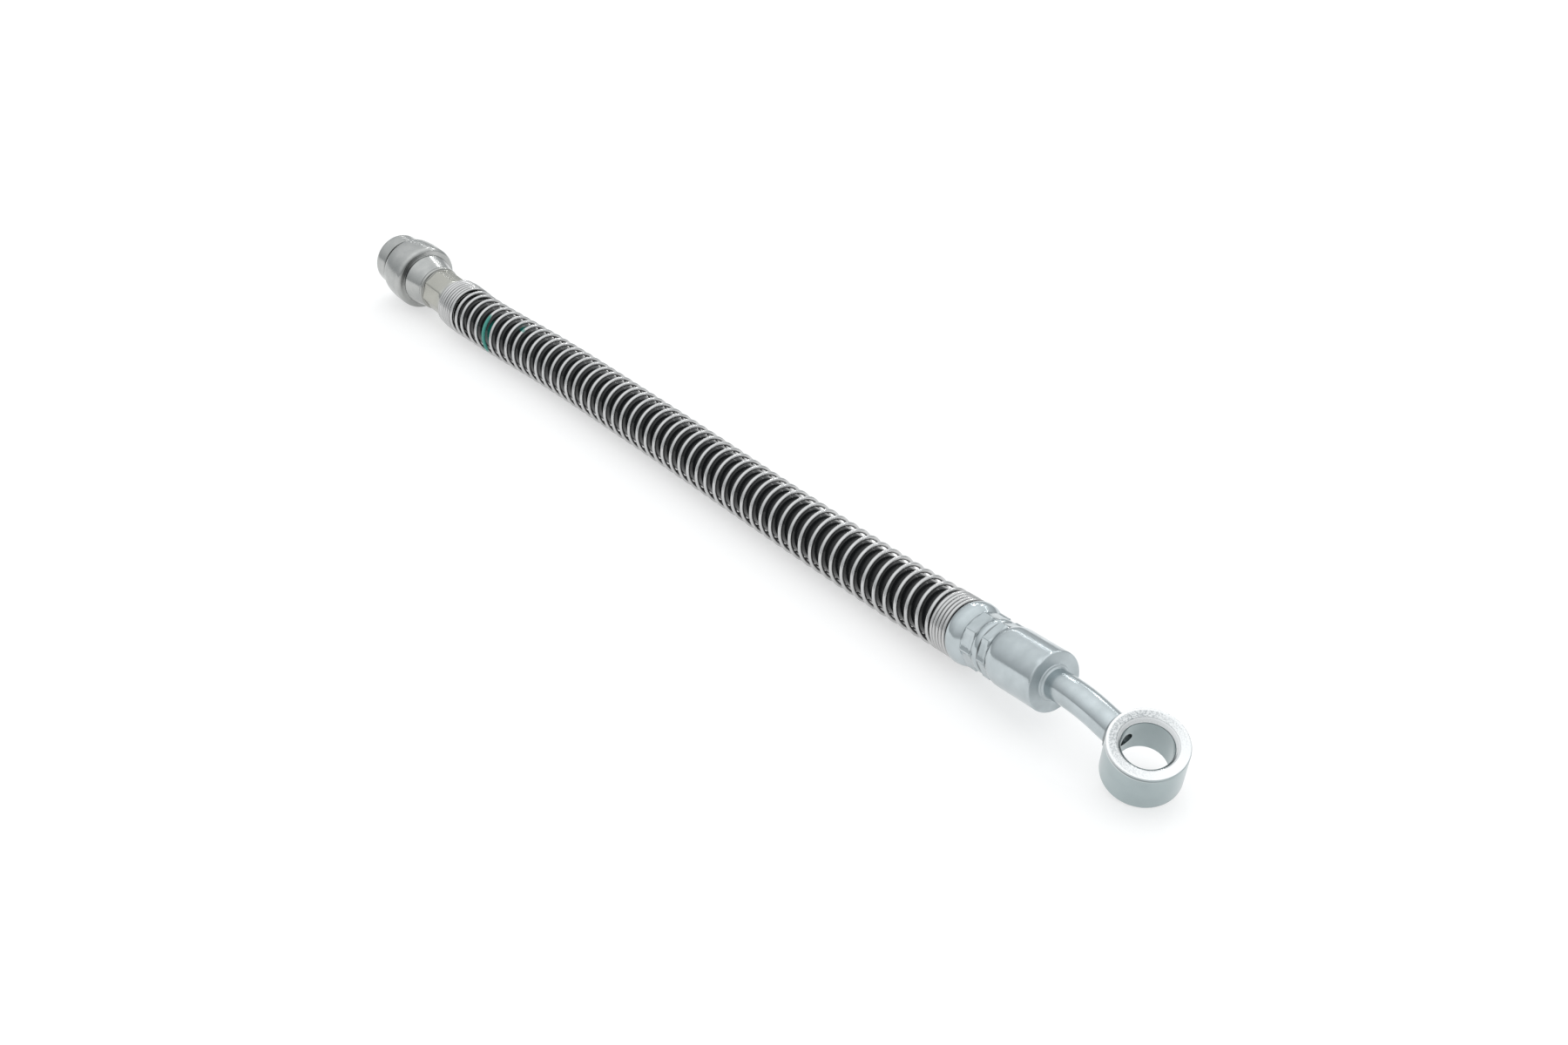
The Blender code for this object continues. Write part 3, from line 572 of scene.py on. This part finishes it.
def plated_zinc(name, dark, light, roughness, mottle, marks):
    """Bright plating on steel: rings left by the turning tool, cloudy patches where the plating is
    thinner, small nicks, and marked places that are darkened with painted shade, or duller, or
    that the jaws rubbed to a warmer tone. marks is how strongly the rings show."""
    material, nodes, links, shader = new_material(name, light, roughness, 1.0)
    rings = pattern(nodes, links, "lay", (7.0, 0.35, 0.35), 3.0)
    clouds = pattern(nodes, links, "object", (260.0, 260.0, 260.0), 4.0)
    nicks = pattern(nodes, links, "object", (1500.0, 1500.0, 1500.0), 5.0)
    cloudy = between(nodes, links, clouds, 0.0, 1.0, 0.5 - mottle, 0.5 + mottle)
    colour = blend_colours(nodes, links, cloudy, dark, light)
    # the jaws' rubbed tone is real wear; the dark colour is painted shade in the recesses
    for mark, marked in (("rubbed", RUBBED_ZINC), ("soil", ZINC_SHADE_COLOUR)):
        colour = blend_colours(nodes, links, attribute(nodes, mark).outputs["Fac"], colour, marked)
    links.new(colour, shader.inputs["Base Color"])
    bare = between(nodes, links, clouds, roughness + ROUGHNESS_SPREAD, roughness - ROUGHNESS_SPREAD)
    duller = nodes.new("ShaderNodeMath")
    duller.operation = "MULTIPLY_ADD"
    duller.inputs[1].default_value = MATT_ROUGHNESS
    links.new(attribute(nodes, "matt").outputs["Fac"], duller.inputs[0])
    links.new(bare, duller.inputs[2])
    links.new(duller.outputs["Value"], shader.inputs["Roughness"])
    add_bumps(nodes, links, shader, (rings, 0.00002, marks), (nicks, 0.00002, 0.25))
    return material


neutral_zinc = plated_zinc("neutral_zinc", (0.36, 0.37, 0.365), (0.47, 0.475, 0.465), 0.22, 0.25, 0.5)
thread_rows = np.linspace(PORT_THREAD[1], PORT_THREAD[0], PORT_THREAD_ROWS)
bare_outline = rounded(FEMALE_OUTSIDE + FEMALE_INSIDE + PORT_BOTTOM)
bottom_rows = -len(PORT_BOTTOM) * CORNER_POINTS
female_outline = np.concatenate((
    closer(bare_outline[:bottom_rows]),
    np.stack((thread_rows, np.full_like(thread_rows, PORT_MINOR)), -1),
    bare_outline[bottom_rows:],
))
origin, along, side, up = (part[0] for part in along_hose(0.0))
female_place = (origin, -along, -side, up)
female_grid, female_lay = lathe(female_outline, female_place, TURNED_COLUMNS, female_shape)
# painted shade in the fitting's recesses
female_soil = soiled(female_outline, TURNED_COLUMNS, FEMALE_SHADE)
female_rubbed = NECK_RUBBED * plateau(female_outline[:, :1], *NECK_BAND, RUBBED_SLOPE)
female = skin("female_fitting_skin", female_grid, neutral_zinc, "root", closed=True, lay=female_lay,
              soil=female_soil, rubbed=female_rubbed * np.ones((1, TURNED_COLUMNS)))
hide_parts("female_fitting")


# The banjo ferrule. A turned steel shell, zinc plated to a bluish white: a tail that carries the
# spring's last turns, a rounded bulb, two bands crimped by eight jaws, and a long plain body.
FERRULE_END = 0.0306
FERRULE_COLUMNS = 192
FERRULE_OUTSIDE = (
    # distance from the ferrule's mouth, radius, and how far the corner is rounded
    (0.0000, 0.00545, 0.0002),
    (0.0042, 0.00545, 0.0001),
    (0.0042, 0.00668, 0.0003),
    (0.0052, 0.00706, 0.0008),
    (0.0068, 0.00690, 0.0010),
    (0.0078, 0.00620, 0.0008),
    (0.0082, 0.00578, 0.0004),
    (0.0115, 0.00575, 0.0004),
    (0.0123, 0.00605, 0.0004),
    (0.0129, 0.00612, 0.0004),
    (0.0136, 0.00600, 0.0003),
    (0.0139, 0.00575, 0.0002),
    (0.0160, 0.00575, 0.0005),
    (0.0170, 0.00630, 0.0008),
    (0.0182, 0.00660, 0.0010),
    (FERRULE_END, 0.00660, 0.0004),
    (FERRULE_END, 0.00392, 0.0001),
    (0.0308, 0.00380, 0.0002),
    (0.0309, 0.00345, 0.0003),
    (0.0313, 0.00322, 0.0001),
    (0.0284, 0.00320, 0.0001),
    (0.0284, 0.00570, 0.0002),
    (0.0180, 0.00570, 0.0005),
    (0.0160, 0.00460, 0.0005),
    (0.0082, 0.00460, 0.0005),
    (0.0072, 0.00570, 0.0004),
    (0.0052, 0.00570, 0.0004),
    (0.0042, 0.00500, 0.0004),
    (0.0000, 0.00500, 0.0001),
)
CRIMP_BANDS = ((0.0084, 0.0118), (0.0138, 0.0161))
# painted shade: the roots of the bulb and of the crimped bands are painted darker on one side
FERRULE_SHADE = (
    # distance, reach along, strength, and the middle and the reach of the shaded side
    (0.0083, 0.00015, 0.55, math.radians(120), 1.0),
    (0.0118, 0.00014, 0.60, math.radians(130), 1.2),
    (0.0138, 0.00016, 0.85, math.radians(150), 1.5),
    (0.0163, 0.00014, 0.50, math.radians(150), 1.3),
)
CRIMP_SLOPE = 0.0003
CRIMP_LEAST_RADIUS = 0.0056
JAW_TURN = math.radians(22.5)
# the seams between the jaws: how far they reach round, and how high they stand
JAW_SEAM = math.radians(4.5)
SEAM_HEIGHT = 0.00012
# the slit: its place along and round, its reaches along and round, and its depth
END_SLIT = (0.0303, math.radians(118), 0.0004, math.radians(6), 0.00028)
SLIT_LEAST_RADIUS = 0.0064
MATT_FACE_DEPTH = 0.0001


def ferrule_shape(distance, radius, angle):
    """The crimped bands are eight-sided, and a thin seam of metal stands up where two jaws met. A
    short slit lies at the upper rim of the end face."""
    outer = radius > CRIMP_LEAST_RADIUS
    step = 2 * np.pi / JAWS
    seam = bell((angle - JAW_TURN) % step - step / 2, 0.0, JAW_SEAM)
    for start, end in CRIMP_BANDS:
        band = plateau(distance, start, end, CRIMP_SLOPE) * outer
        radius = radius * (1 + band * facets(angle, JAWS, JAW_TURN)) + SEAM_HEIGHT * band * seam
    middle, direction, reach, spread, depth = END_SLIT
    slit = depth * bell(distance, middle, reach) * bell(angle, direction, spread)
    return radius - slit * (radius > SLIT_LEAST_RADIUS)


blue_zinc = plated_zinc("blue_zinc", (0.43, 0.475, 0.49), (0.53, 0.58, 0.60), 0.17, 0.25, 0.3)
ferrule_place = tuple(part[0] for part in along_hose(FREE_LENGTH))
ferrule_outline = closer(rounded(FERRULE_OUTSIDE))
ferrule_grid, ferrule_lay = lathe(ferrule_outline, ferrule_place, FERRULE_COLUMNS, ferrule_shape)
# painted shade at the roots of the crimped bands
ferrule_soil = soiled(ferrule_outline, FERRULE_COLUMNS, FERRULE_SHADE)
ferrule_matt = (ferrule_outline[:, :1] > FERRULE_END - MATT_FACE_DEPTH) * np.ones((1, FERRULE_COLUMNS))
ferrule = skin("banjo_ferrule_skin", ferrule_grid, blue_zinc, "root", closed=True, lay=ferrule_lay,
               soil=ferrule_soil, matt=ferrule_matt)
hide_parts("banjo_ferrule")


# The banjo pipe. A plated steel tube, turned at one end into the nipple that fills the hose and
# bent once towards the eye, to which its other end is brazed.
PIPE_RADIUS = 0.00325
PIPE_BORE = 0.0015
# the straight lead before the bend, the bend, the side it goes to, and the way on to the eye's middle
PIPE_LEAD = 0.0037
BEND_RADIUS = 0.0245
BEND = math.radians(22.9)
BEND_ROLL = math.radians(17.9)
PIPE_END = 0.01145
EYE_ROLL = math.radians(-5.1)
EYE_RADIUS = 0.00804
PIPE_INTO_EYE = 0.0008
PIPE_COLUMNS = 64
PIPE_ROWS = 60
BORE_ROWS = 40
# the nipple's narrow bore, and the step where the pipe's own bore ends
NIPPLE_BORE = 0.00090
NIPPLE_END = -0.0296
BORE_STEP = -0.0030
PIPE_OUTSIDE = (
    # distance from the ferrule's end face, radius, and how far the corner is rounded
    (NIPPLE_END, NIPPLE_BORE, 0.0001),
    (NIPPLE_END, 0.00116, 0.0001),
    (-0.0289, 0.00140, 0.0002),
    (-0.0203, 0.00128, 0.0001),
    (-0.0202, 0.00140, 0.0001),
    (-0.0121, 0.00128, 0.0001),
    (-0.0120, 0.00140, 0.0001),
    (-0.0037, 0.00128, 0.0001),
    (-0.0037, 0.00460, 0.0002),
    (-0.0025, 0.00460, 0.0002),
    (-0.0025, PIPE_RADIUS, 0.0001),
)


def turned_about(vectors, axis, angle):
    """The directions of a frame (along, side, up) after a turn about one of them."""
    first, second = [k for k in range(3) if k != axis]
    cos, sin = math.cos(angle), math.sin(angle) * (-1 if axis == 1 else 1)
    result = list(vectors)
    result[first] = cos * vectors[first] + sin * vectors[second]
    result[second] = cos * vectors[second] - sin * vectors[first]
    return result


face_parts = [part[0] for part in along_hose(FREE_LENGTH + FERRULE_END)]
bend_plane = turned_about(face_parts[1:], 0, BEND_ROLL)


def along_pipe(distance):
    """Points on the pipe's centre line and the directions there: straight for the lead, then the
    arc of the bend, then straight again. Distances run from the ferrule's end face."""
    bent = np.clip(distance - PIPE_LEAD, 0.0, BEND * BEND_RADIUS)
    turn = bent / BEND_RADIUS
    after = np.maximum(distance - PIPE_LEAD - BEND * BEND_RADIUS, 0.0)
    before = np.minimum(distance, PIPE_LEAD)
    forward = before + BEND_RADIUS * np.sin(turn) + after * np.cos(turn)
    down = -BEND_RADIUS * (1 - np.cos(turn)) - after * np.sin(turn)
    along, side, up = bend_plane
    points = face_parts[0] + forward[:, None] * along + down[:, None] * up
    way = np.cos(turn)[:, None] * along - np.sin(turn)[:, None] * up
    over = np.sin(turn)[:, None] * along + np.cos(turn)[:, None] * up
    return points, way, np.broadcast_to(side, points.shape), over


pipe_length = PIPE_LEAD + BEND * BEND_RADIUS + PIPE_END


def bent_pipe():
    """The pipe as rings square to its centre line: along the nipple's outline, then along the plain
    tube until it stands in the eye, and back through the bores. Returns the grid and its lay."""
    stop = pipe_length - math.sqrt(EYE_RADIUS ** 2 - PIPE_RADIUS ** 2) + PIPE_INTO_EYE
    bare = np.linspace(0.0, stop, PIPE_ROWS)
    bore = np.linspace(stop, BORE_STEP, BORE_ROWS)
    nipple = rounded(PIPE_OUTSIDE)[CORNER_POINTS:]
    distance = np.concatenate((nipple[:, 0], bare, bore, (BORE_STEP, NIPPLE_END)))
    radius = np.concatenate((nipple[:, 1], np.full_like(bare, PIPE_RADIUS),
                             np.full_like(bore, PIPE_BORE), (NIPPLE_BORE, NIPPLE_BORE)))
    centre, _, side, up = along_pipe(distance)
    angle = round_angles(PIPE_COLUMNS)
    return ring_points(centre, radius, angle, side, up), ring_lay(distance[:, None], angle)


pipe_grid, pipe_lay = bent_pipe()
pipe = skin("banjo_pipe_skin", pipe_grid, blue_zinc, "root", closed=True, lay=pipe_lay)
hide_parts("banjo_pipe")


# The banjo eye. A thick plated ring, faced on both sides for its sealing washers, with the
# bolt's bore, a cross hole that leads into the pipe, and a thin fillet of braze at the pipe.
EYE_HALF = 0.00495
EYE_BORE = 0.0051
EYE_CHAMFER = 0.0008
CROSS_HOLE = 0.0015
DRILL_PAST = 0.0018
DRILL_COLUMNS = 48
EYE_COLUMNS = 192
SHARP_ANGLE = math.radians(40)
# how far inside the rim the ground faces end, and the painted shade along the chamfer and in the
# bore: its strength and its reach
RIM_DEPTH = 0.0001
CHAMFER_SHADE = (0.4, 0.00008)
BORE_SHADE = (0.1, 0.00001)
# painted shade: a dark band on the outside just under the upper rim, strongest on one side
EYE_RIM_SHADE = (
    # height over the middle, reach along, strength, and the middle and the reach of the shaded side
    (EYE_HALF - 0.00042, 0.00016, 0.9, math.radians(285), 1.0),
)
EYE_OUTLINE = (
    (-EYE_HALF, EYE_BORE + EYE_CHAMFER, 0.0003),
    (-EYE_HALF, EYE_RADIUS, 0.0003),
    (EYE_HALF, EYE_RADIUS, 0.0003),
    (EYE_HALF, EYE_BORE + EYE_CHAMFER, 0.0003),
    (EYE_HALF - EYE_CHAMFER, EYE_BORE, 0.0002),
    (-EYE_HALF + EYE_CHAMFER, EYE_BORE, 0.0002),
)

pipe_way = [part[0] for part in along_pipe(np.array([pipe_length]))]
eye_middle = pipe_way[0]
eye_along, eye_side, eye_up = turned_about(pipe_way[1:], 0, EYE_ROLL)


WORN_ZINC = (0.78, 0.795, 0.80)
# painted highlight: the near-white colour of the upper chamfer and of the rim near the pipe
EDGE_HIGHLIGHT_COLOUR = (0.84, 0.85, 0.855)
# painted shade: the dark colour along the chamfer, in the bore and under the rim
EYE_SHADE_COLOUR = (0.04, 0.06, 0.065)


def faced_zinc():
    """The eye's plating: plain on the bore and the outside, worn bright on the ground faces, pitted
    with fine grains where they are marked as face, with a painted highlight on the marked edges,
    and painted shade where that is marked."""
    material, nodes, links, shader = new_material("faced_zinc", (0.48, 0.51, 0.525), 0.28, 1.0)
    face = attribute(nodes, "face").outputs["Fac"]
    grains = pattern(nodes, links, "object", (3200.0, 3200.0, 3200.0), 3.0)
    pits = pattern(nodes, links, "object", (3400.0, 3400.0, 3400.0), 4.0)
    clouds = pattern(nodes, links, "object", (260.0, 260.0, 260.0), 4.0)
    on_face = nodes.new("ShaderNodeMath")
    on_face.operation = "MULTIPLY"
    links.new(grains, on_face.inputs[0])
    links.new(face, on_face.inputs[1])
    pitted = blend_colours(nodes, links, between(nodes, links, pits, 0.0, 1.0, 0.38, 0.56),
                           (0.30, 0.32, 0.33), (0.62, 0.635, 0.64))
    worn = blend_colours(nodes, links, face, WORN_ZINC, pitted)
    colour = blend_colours(nodes, links, clouds, (0.36, 0.42, 0.43), (0.44, 0.505, 0.515))
    # painted highlight on the marked edges and painted shade where that is marked
    for mark, marked in (("ground", worn), ("painted_highlight", EDGE_HIGHLIGHT_COLOUR), ("soil", EYE_SHADE_COLOUR)):
        colour = blend_colours(nodes, links, attribute(nodes, mark).outputs["Fac"], colour, marked)
    links.new(colour, shader.inputs["Base Color"])
    links.new(between(nodes, links, on_face.outputs["Value"], 0.24, 0.42, 0.2, 0.7),
              shader.inputs["Roughness"])
    add_bumps(nodes, links, shader, (on_face.outputs["Value"], 0.00004, 0.5), (clouds, 0.00002, 0.3))
    return material


def drilled(piece, drill):
    """Cuts the drill's shape out of the piece for good, and keeps the edges that it leaves sharp."""
    cut = piece.modifiers.new("cut", "BOOLEAN")
    cut.operation = "DIFFERENCE"
    cut.solver = "EXACT"
    cut.object = drill
    depsgraph = bpy.context.evaluated_depsgraph_get()
    finished = bpy.data.meshes.new_from_object(piece.evaluated_get(depsgraph))
    piece.modifiers.clear()
    piece.data = finished
    finished.set_sharp_from_angle(angle=SHARP_ANGLE)
    bpy.data.objects.remove(drill)


def eye_marks(outline):
    """Where the eye is marked, from its outline's heights and radii. The faces are ground, and
    grained more the nearer they lie to the pipe: 0.5 - 0.5 * cos(angle). The upper face's chamfer
    and, near the pipe, its rim get a painted highlight. Painted shade lies along the chamfer, in the
    bore and under the rim."""
    height, radius = outline[:, :1], outline[:, 1:]
    all_round = np.ones((1, EYE_COLUMNS))
    towards_pipe = 0.5 - 0.5 * np.cos(round_angles(EYE_COLUMNS))
    near_face = np.abs(height) > EYE_HALF - EYE_CHAMFER
    ground = near_face * (radius < EYE_RADIUS - RIM_DEPTH) * all_round
    on_chamfer = np.abs(radius - EYE_BORE - EYE_CHAMFER / 2) < EYE_CHAMFER / 2
    on_rim = np.abs(radius - EYE_RADIUS + RIM_DEPTH) < EYE_CHAMFER / 2
    # painted highlight on the upper chamfer and, near the pipe, on the rim
    painted_highlight = near_face * (height > 0.0) * (on_chamfer + on_rim * towards_pipe)
    # painted shade along the chamfer, in the bore and under the rim
    on_edge = near_face * bell(radius, EYE_BORE + EYE_CHAMFER, CHAMFER_SHADE[1])
    in_bore = radius < EYE_BORE + BORE_SHADE[1]
    under_rim = soiled(outline, EYE_COLUMNS, EYE_RIM_SHADE) * (radius > EYE_RADIUS - RIM_DEPTH)
    soil = np.maximum((CHAMFER_SHADE[0] * on_edge + BORE_SHADE[0] * in_bore) * all_round, under_rim)
    face = ground * towards_pipe * (radius > EYE_BORE + EYE_CHAMFER)
    return {"ground": ground, "face": face, "painted_highlight": painted_highlight, "soil": soil}


eye_outline = closer(rounded(EYE_OUTLINE))
eye_grid, eye_lay = lathe(eye_outline, (eye_middle, eye_up, eye_along, eye_side), EYE_COLUMNS)
eye = skin("banjo_eye_skin", eye_grid, faced_zinc(), "root", closed=True, lay=eye_lay,
           **eye_marks(eye_outline))
drill_outline = np.array(((-EYE_BORE - DRILL_PAST, CROSS_HOLE), (-EYE_BORE / 2, CROSS_HOLE)))
drill_grid, drill_lay = lathe(drill_outline, (eye_middle, eye_along, eye_side, eye_up), DRILL_COLUMNS)
drill = skin("cross_hole_drill", drill_grid, eye.data.materials[0], "root", caps=True, lay=drill_lay)
bpy.context.view_layer.update()
drilled(eye, drill)
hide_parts("banjo_eye")


# the fillet's reach on the pipe and on the eye, how far it stands off the eye, and how far its
# hidden back lies behind it, along the pipe and towards its middle
BRAZE = 0.0006
BRAZE_ROWS = 9
BRAZE_PROUD = 0.00002
BRAZE_BACK = (0.0006, 0.0004)


def braze_fillet():
    """A ring of braze where the pipe meets the eye: round the pipe, each row is the parabola from
    the pipe's surface to the eye's that bends towards the line where they meet."""
    around = round_angles(PIPE_COLUMNS)
    t = np.linspace(0.0, 1.0, BRAZE_ROWS)[:, None]
    wide = PIPE_RADIUS + BRAZE * t ** 2
    meet = lambda radius: np.sqrt(EYE_RADIUS ** 2 - (radius * np.cos(around)) ** 2)
    back = -meet(PIPE_RADIUS) - BRAZE * (1 - t) ** 2
    back = np.minimum(back, -meet(wide)) - BRAZE_PROUD
    front = np.stack(np.broadcast_arrays(back, wide), -1)
    skinned = np.concatenate((front, (front + (BRAZE_BACK[0], -BRAZE_BACK[1]))[::-1]))
    x, radius = skinned[..., 0], skinned[..., 1]
    grid = (eye_middle + x[..., None] * eye_along + (radius * np.cos(around))[..., None] * eye_side
            + (radius * np.sin(around))[..., None] * eye_up)
    return grid, ring_lay(np.arange(len(skinned))[:, None] * MILLIMETRE / 10, around)


braze_zinc = plated_zinc("braze_zinc", (0.26, 0.28, 0.29), (0.42, 0.45, 0.46), 0.34, 0.2, 0.1)
braze_grid, braze_lay = braze_fillet()
braze = skin("braze_fillet", braze_grid, braze_zinc, "root", closed=True, lay=braze_lay)


# The guard spring. Bright drawn steel wire wound right-handed over the hose: close turns over the
# tails of both fittings and open turns between. Two open turns carry daubs of green paint.
WIRE_RADIUS = 0.00048
# the coil on the open turns, on the female fitting's skirt, and where the wire starts there
COIL_RADIUS = 0.00635
FEMALE_COIL_RADIUS = 0.00657
FIRST_TURN_RADIUS = 0.00622
FIRST_WIDENING_TURNS = 3
CLOSE_PITCH = 0.00102
FEMALE_TAIL = 0.0072
FERRULE_TAIL = 0.0042
# the groups of turns, and between them the run-outs: how many turns, and their pitch
FEMALE_CLOSE_TURNS = 7
FEMALE_RUNOUT = (2, 0.00257)
OPEN_TURNS = 53
BANJO_RUNOUT = (1, 0.00172)
BANJO_CLOSE_TURNS = 4
# turns are counted where they cross the counting angle, and the wire runs on after the last one
COUNTING_ANGLE = math.radians(137)
WIRE_START_ANGLE = math.radians(198)
WIRE_END_RUN = math.radians(100)
STEPS_PER_TURN = 60
WIRE_COLUMNS = 14
WIRE_END_SHARE = 0.75
WIRE_PAINT = (0.055, 0.29, 0.24)
# painted shade: the dark colour between the close turns
WIRE_SHADE_COLOUR = (0.05, 0.05, 0.048)
# painted shade on the close turns halfway round the wire, and how much less of it there is outside
CLOSE_SHADE = (1.1, 1.3)
# how much of the paint depends on the side of the wire, which is painted from outside
PAINT_SIDE = 0.25
DAUBS = (
    # the turn in the daub's middle, its reach in turns, and its strength
    (12.08, 0.15, 1.25),
    (15.93, 0.03, 0.6),
)


def spring_turns():
    """The turns at which the wire's pitch changes, and the distances along the hose where they
    stand: the ends stand against the fittings, and the open turns share what is left."""
    start = WIRE_RADIUS - FEMALE_TAIL
    end = FREE_LENGTH + FERRULE_TAIL - TOUCH_GAP - WIRE_RADIUS
    turns = np.cumsum((
        0, FEMALE_CLOSE_TURNS, FEMALE_RUNOUT[0], OPEN_TURNS, BANJO_RUNOUT[0], BANJO_CLOSE_TURNS))
    female = start + FEMALE_CLOSE_TURNS * CLOSE_PITCH
    banjo = end - BANJO_CLOSE_TURNS * CLOSE_PITCH
    places = (start, female, female + FEMALE_RUNOUT[0] * FEMALE_RUNOUT[1],
              banjo - BANJO_RUNOUT[0] * BANJO_RUNOUT[1], banjo, end)
    return turns, np.array(places)


def guard_wire():
    """The wire: at each step a point on the coil, its centre line's place plus the coil's radius at
    that angle, carries a ring of the wire's own radius square to the wire's way. A daub's paint is
    its strength - (turns from its middle / its reach) ** 2, and painted shade lies between close turns."""
    turns, places = spring_turns()
    last = 2 * np.pi * turns[-1] + COUNTING_ANGLE + WIRE_END_RUN
    angle = np.arange(WIRE_START_ANGLE, last, 2 * np.pi / STEPS_PER_TURN)
    turn = (angle - COUNTING_ANGLE) / (2 * np.pi)
    radius = np.interp(turn, (0, FIRST_WIDENING_TURNS, turns[1], turns[2]),
                       (FIRST_TURN_RADIUS, FEMALE_COIL_RADIUS, FEMALE_COIL_RADIUS, COIL_RADIUS))
    past = np.maximum(turn - turns[-1], 0.0) * CLOSE_PITCH
    centre, _, side, up = along_hose(np.interp(turn, turns, places) + past)
    outward = np.cos(angle)[:, None] * side + np.sin(angle)[:, None] * up
    wire = centre + radius[:, None] * outward
    way = unit(np.gradient(wire, axis=0))
    outward = unit(outward - (outward * way).sum(1, keepdims=True) * way)
    across = np.cross(way, outward)
    around = round_angles(WIRE_COLUMNS)
    distance = np.concatenate(([0.0], np.cumsum(np.linalg.norm(np.diff(wire, axis=0), axis=1))))
    thickness = np.full(len(wire), WIRE_RADIUS)
    thickness[[0, -1]] *= WIRE_END_SHARE
    grid = ring_points(wire, thickness, around, outward, across)
    daubs = [strength - ((turn - middle) / reach) ** 2 for middle, reach, strength in DAUBS]
    painted_side = 1 - PAINT_SIDE + PAINT_SIDE * np.cos(around)
    paint = np.clip(np.max(daubs, axis=0), 0.0, 1.0)[:, None] * painted_side
    close = ((turn < turns[1]) | (turn > turns[-2]))[:, None]
    # painted shade: the close turns are darker where they face their neighbours and the hose
    soil = close * np.clip(CLOSE_SHADE[0] - CLOSE_SHADE[1] * np.cos(around), 0.0, 1.0)
    return grid, ring_lay(distance[:, None], around), paint, soil


def drawn_wire():
    """Bright drawn wire with lengthwise die lines and faint stains, darkened with painted shade or
    under green paint where it is marked."""
    material, nodes, links, shader = new_material("drawn_wire", (0.58, 0.58, 0.57), 0.20, 1.0)
    lines = pattern(nodes, links, "lay", (0.08, 3.5, 3.5), 3.0)
    stains = pattern(nodes, links, "lay", (0.35, 0.6, 0.6), 4.0)
    amount = between(nodes, links, attribute(nodes, "paint").outputs["Fac"], 0.0, 1.0, 0.3, 0.6)
    clear = blend_colours(nodes, links, stains, (0.48, 0.48, 0.48), (0.62, 0.62, 0.62))
    # painted shade between the close turns
    metal = blend_colours(nodes, links, attribute(nodes, "soil").outputs["Fac"], clear, WIRE_SHADE_COLOUR)
    links.new(blend_colours(nodes, links, amount, metal, WIRE_PAINT), shader.inputs["Base Color"])
    links.new(between(nodes, links, amount, 1.0, 0.0, 0.0, 1.0), shader.inputs["Metallic"])
    links.new(between(nodes, links, lines, 0.17, 0.3), shader.inputs["Roughness"])
    add_bumps(nodes, links, shader, (lines, 0.00002, 0.5))
    return material


wire_grid, wire_lay, wire_paint, wire_soil = guard_wire()
spring = skin("guard_spring_wire", wire_grid, drawn_wire(), "root", caps=True, lay=wire_lay,
              paint=wire_paint, soil=wire_soil)
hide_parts("guard_spring")


# The table and the light. A wide pale table under a white tent that is darker low down, one long
# narrow lamp behind the hose that draws the bright lines along the fittings and the pipe, and two
# small square lamps for the glints.
TABLE_HALF = 3.0
TABLE_DROP = 0.0002
TENT_HORIZON = (0.46, 0.48, 0.49)
TENT_TOP = (1.34, 1.36, 1.37)
LAMPS = (
    # place, length, width and power
    ((-1.2, 1.2, 0.86), 4.0, 0.018, 2.0),
    ((-1.0, 1.0, 1.1), 0.08, 0.08, 0.9),
    ((-0.4, 1.3, 1.0), 0.08, 0.08, 0.9),
)


def pale_table():
    """White acrylic lit from below, with a very slight cloudiness and grain."""
    material, nodes, links, shader = new_material("pale_table", (0.5, 0.5, 0.5), 0.6)
    shader.inputs["Emission Color"].default_value = (1.0, 1.0, 1.0, 1.0)
    shader.inputs["Emission Strength"].default_value = 0.52
    clouds = pattern(nodes, links, "object", (6.0, 6.0, 6.0), 2.0)
    grain = pattern(nodes, links, "object", (900.0, 900.0, 900.0), 2.0)
    links.new(blend_colours(nodes, links, clouds, (0.48, 0.48, 0.48), (0.51, 0.51, 0.51)),
              shader.inputs["Base Color"])
    add_bumps(nodes, links, shader, (grain, 0.00002, 0.1))
    return material


table_mesh = bpy.data.meshes.new("table")
table_corners = [(x * TABLE_HALF, y * TABLE_HALF, -TABLE_DROP)
                 for x, y in ((-1, -1), (1, -1), (1, 1), (-1, 1))]
table_mesh.from_pydata(table_corners, [], [(0, 1, 2, 3)])
table_mesh.materials.append(pale_table())
table = bpy.data.objects.new("table", table_mesh)
bpy.context.scene.collection.objects.link(table)
table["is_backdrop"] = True

# each lamp faces the line along X through the middle of the table
for k, (place, length, width, power) in enumerate(LAMPS):
    light = bpy.data.lights.new(f"lamp_{k}", "AREA")
    light.shape = "RECTANGLE"
    light.size, light.size_y = length, width
    light.energy = power
    lamp = bpy.data.objects.new(f"lamp_{k}", light)
    lamp.location = place
    lamp.rotation_euler = (-Vector((0.0, *place[1:]))).to_track_quat("-Z", "Y").to_euler()
    bpy.context.scene.collection.objects.link(lamp)

world = bpy.data.worlds.new("tent")
world.use_nodes = True
sky, sky_links = world.node_tree.nodes, world.node_tree.links
direction = sky.new("ShaderNodeTexCoord")
height = sky.new("ShaderNodeSeparateXYZ")
sky_links.new(direction.outputs["Generated"], height.inputs[0])
sky_links.new(blend_colours(sky, sky_links, height.outputs["Z"], TENT_HORIZON, TENT_TOP),
              sky["Background"].inputs["Color"])
bpy.context.scene.world = world
bpy.context.scene.view_settings.view_transform = "Standard"

{"cad": [list(corner) for corner in cad_corners], "visual": [list(corner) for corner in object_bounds()]}
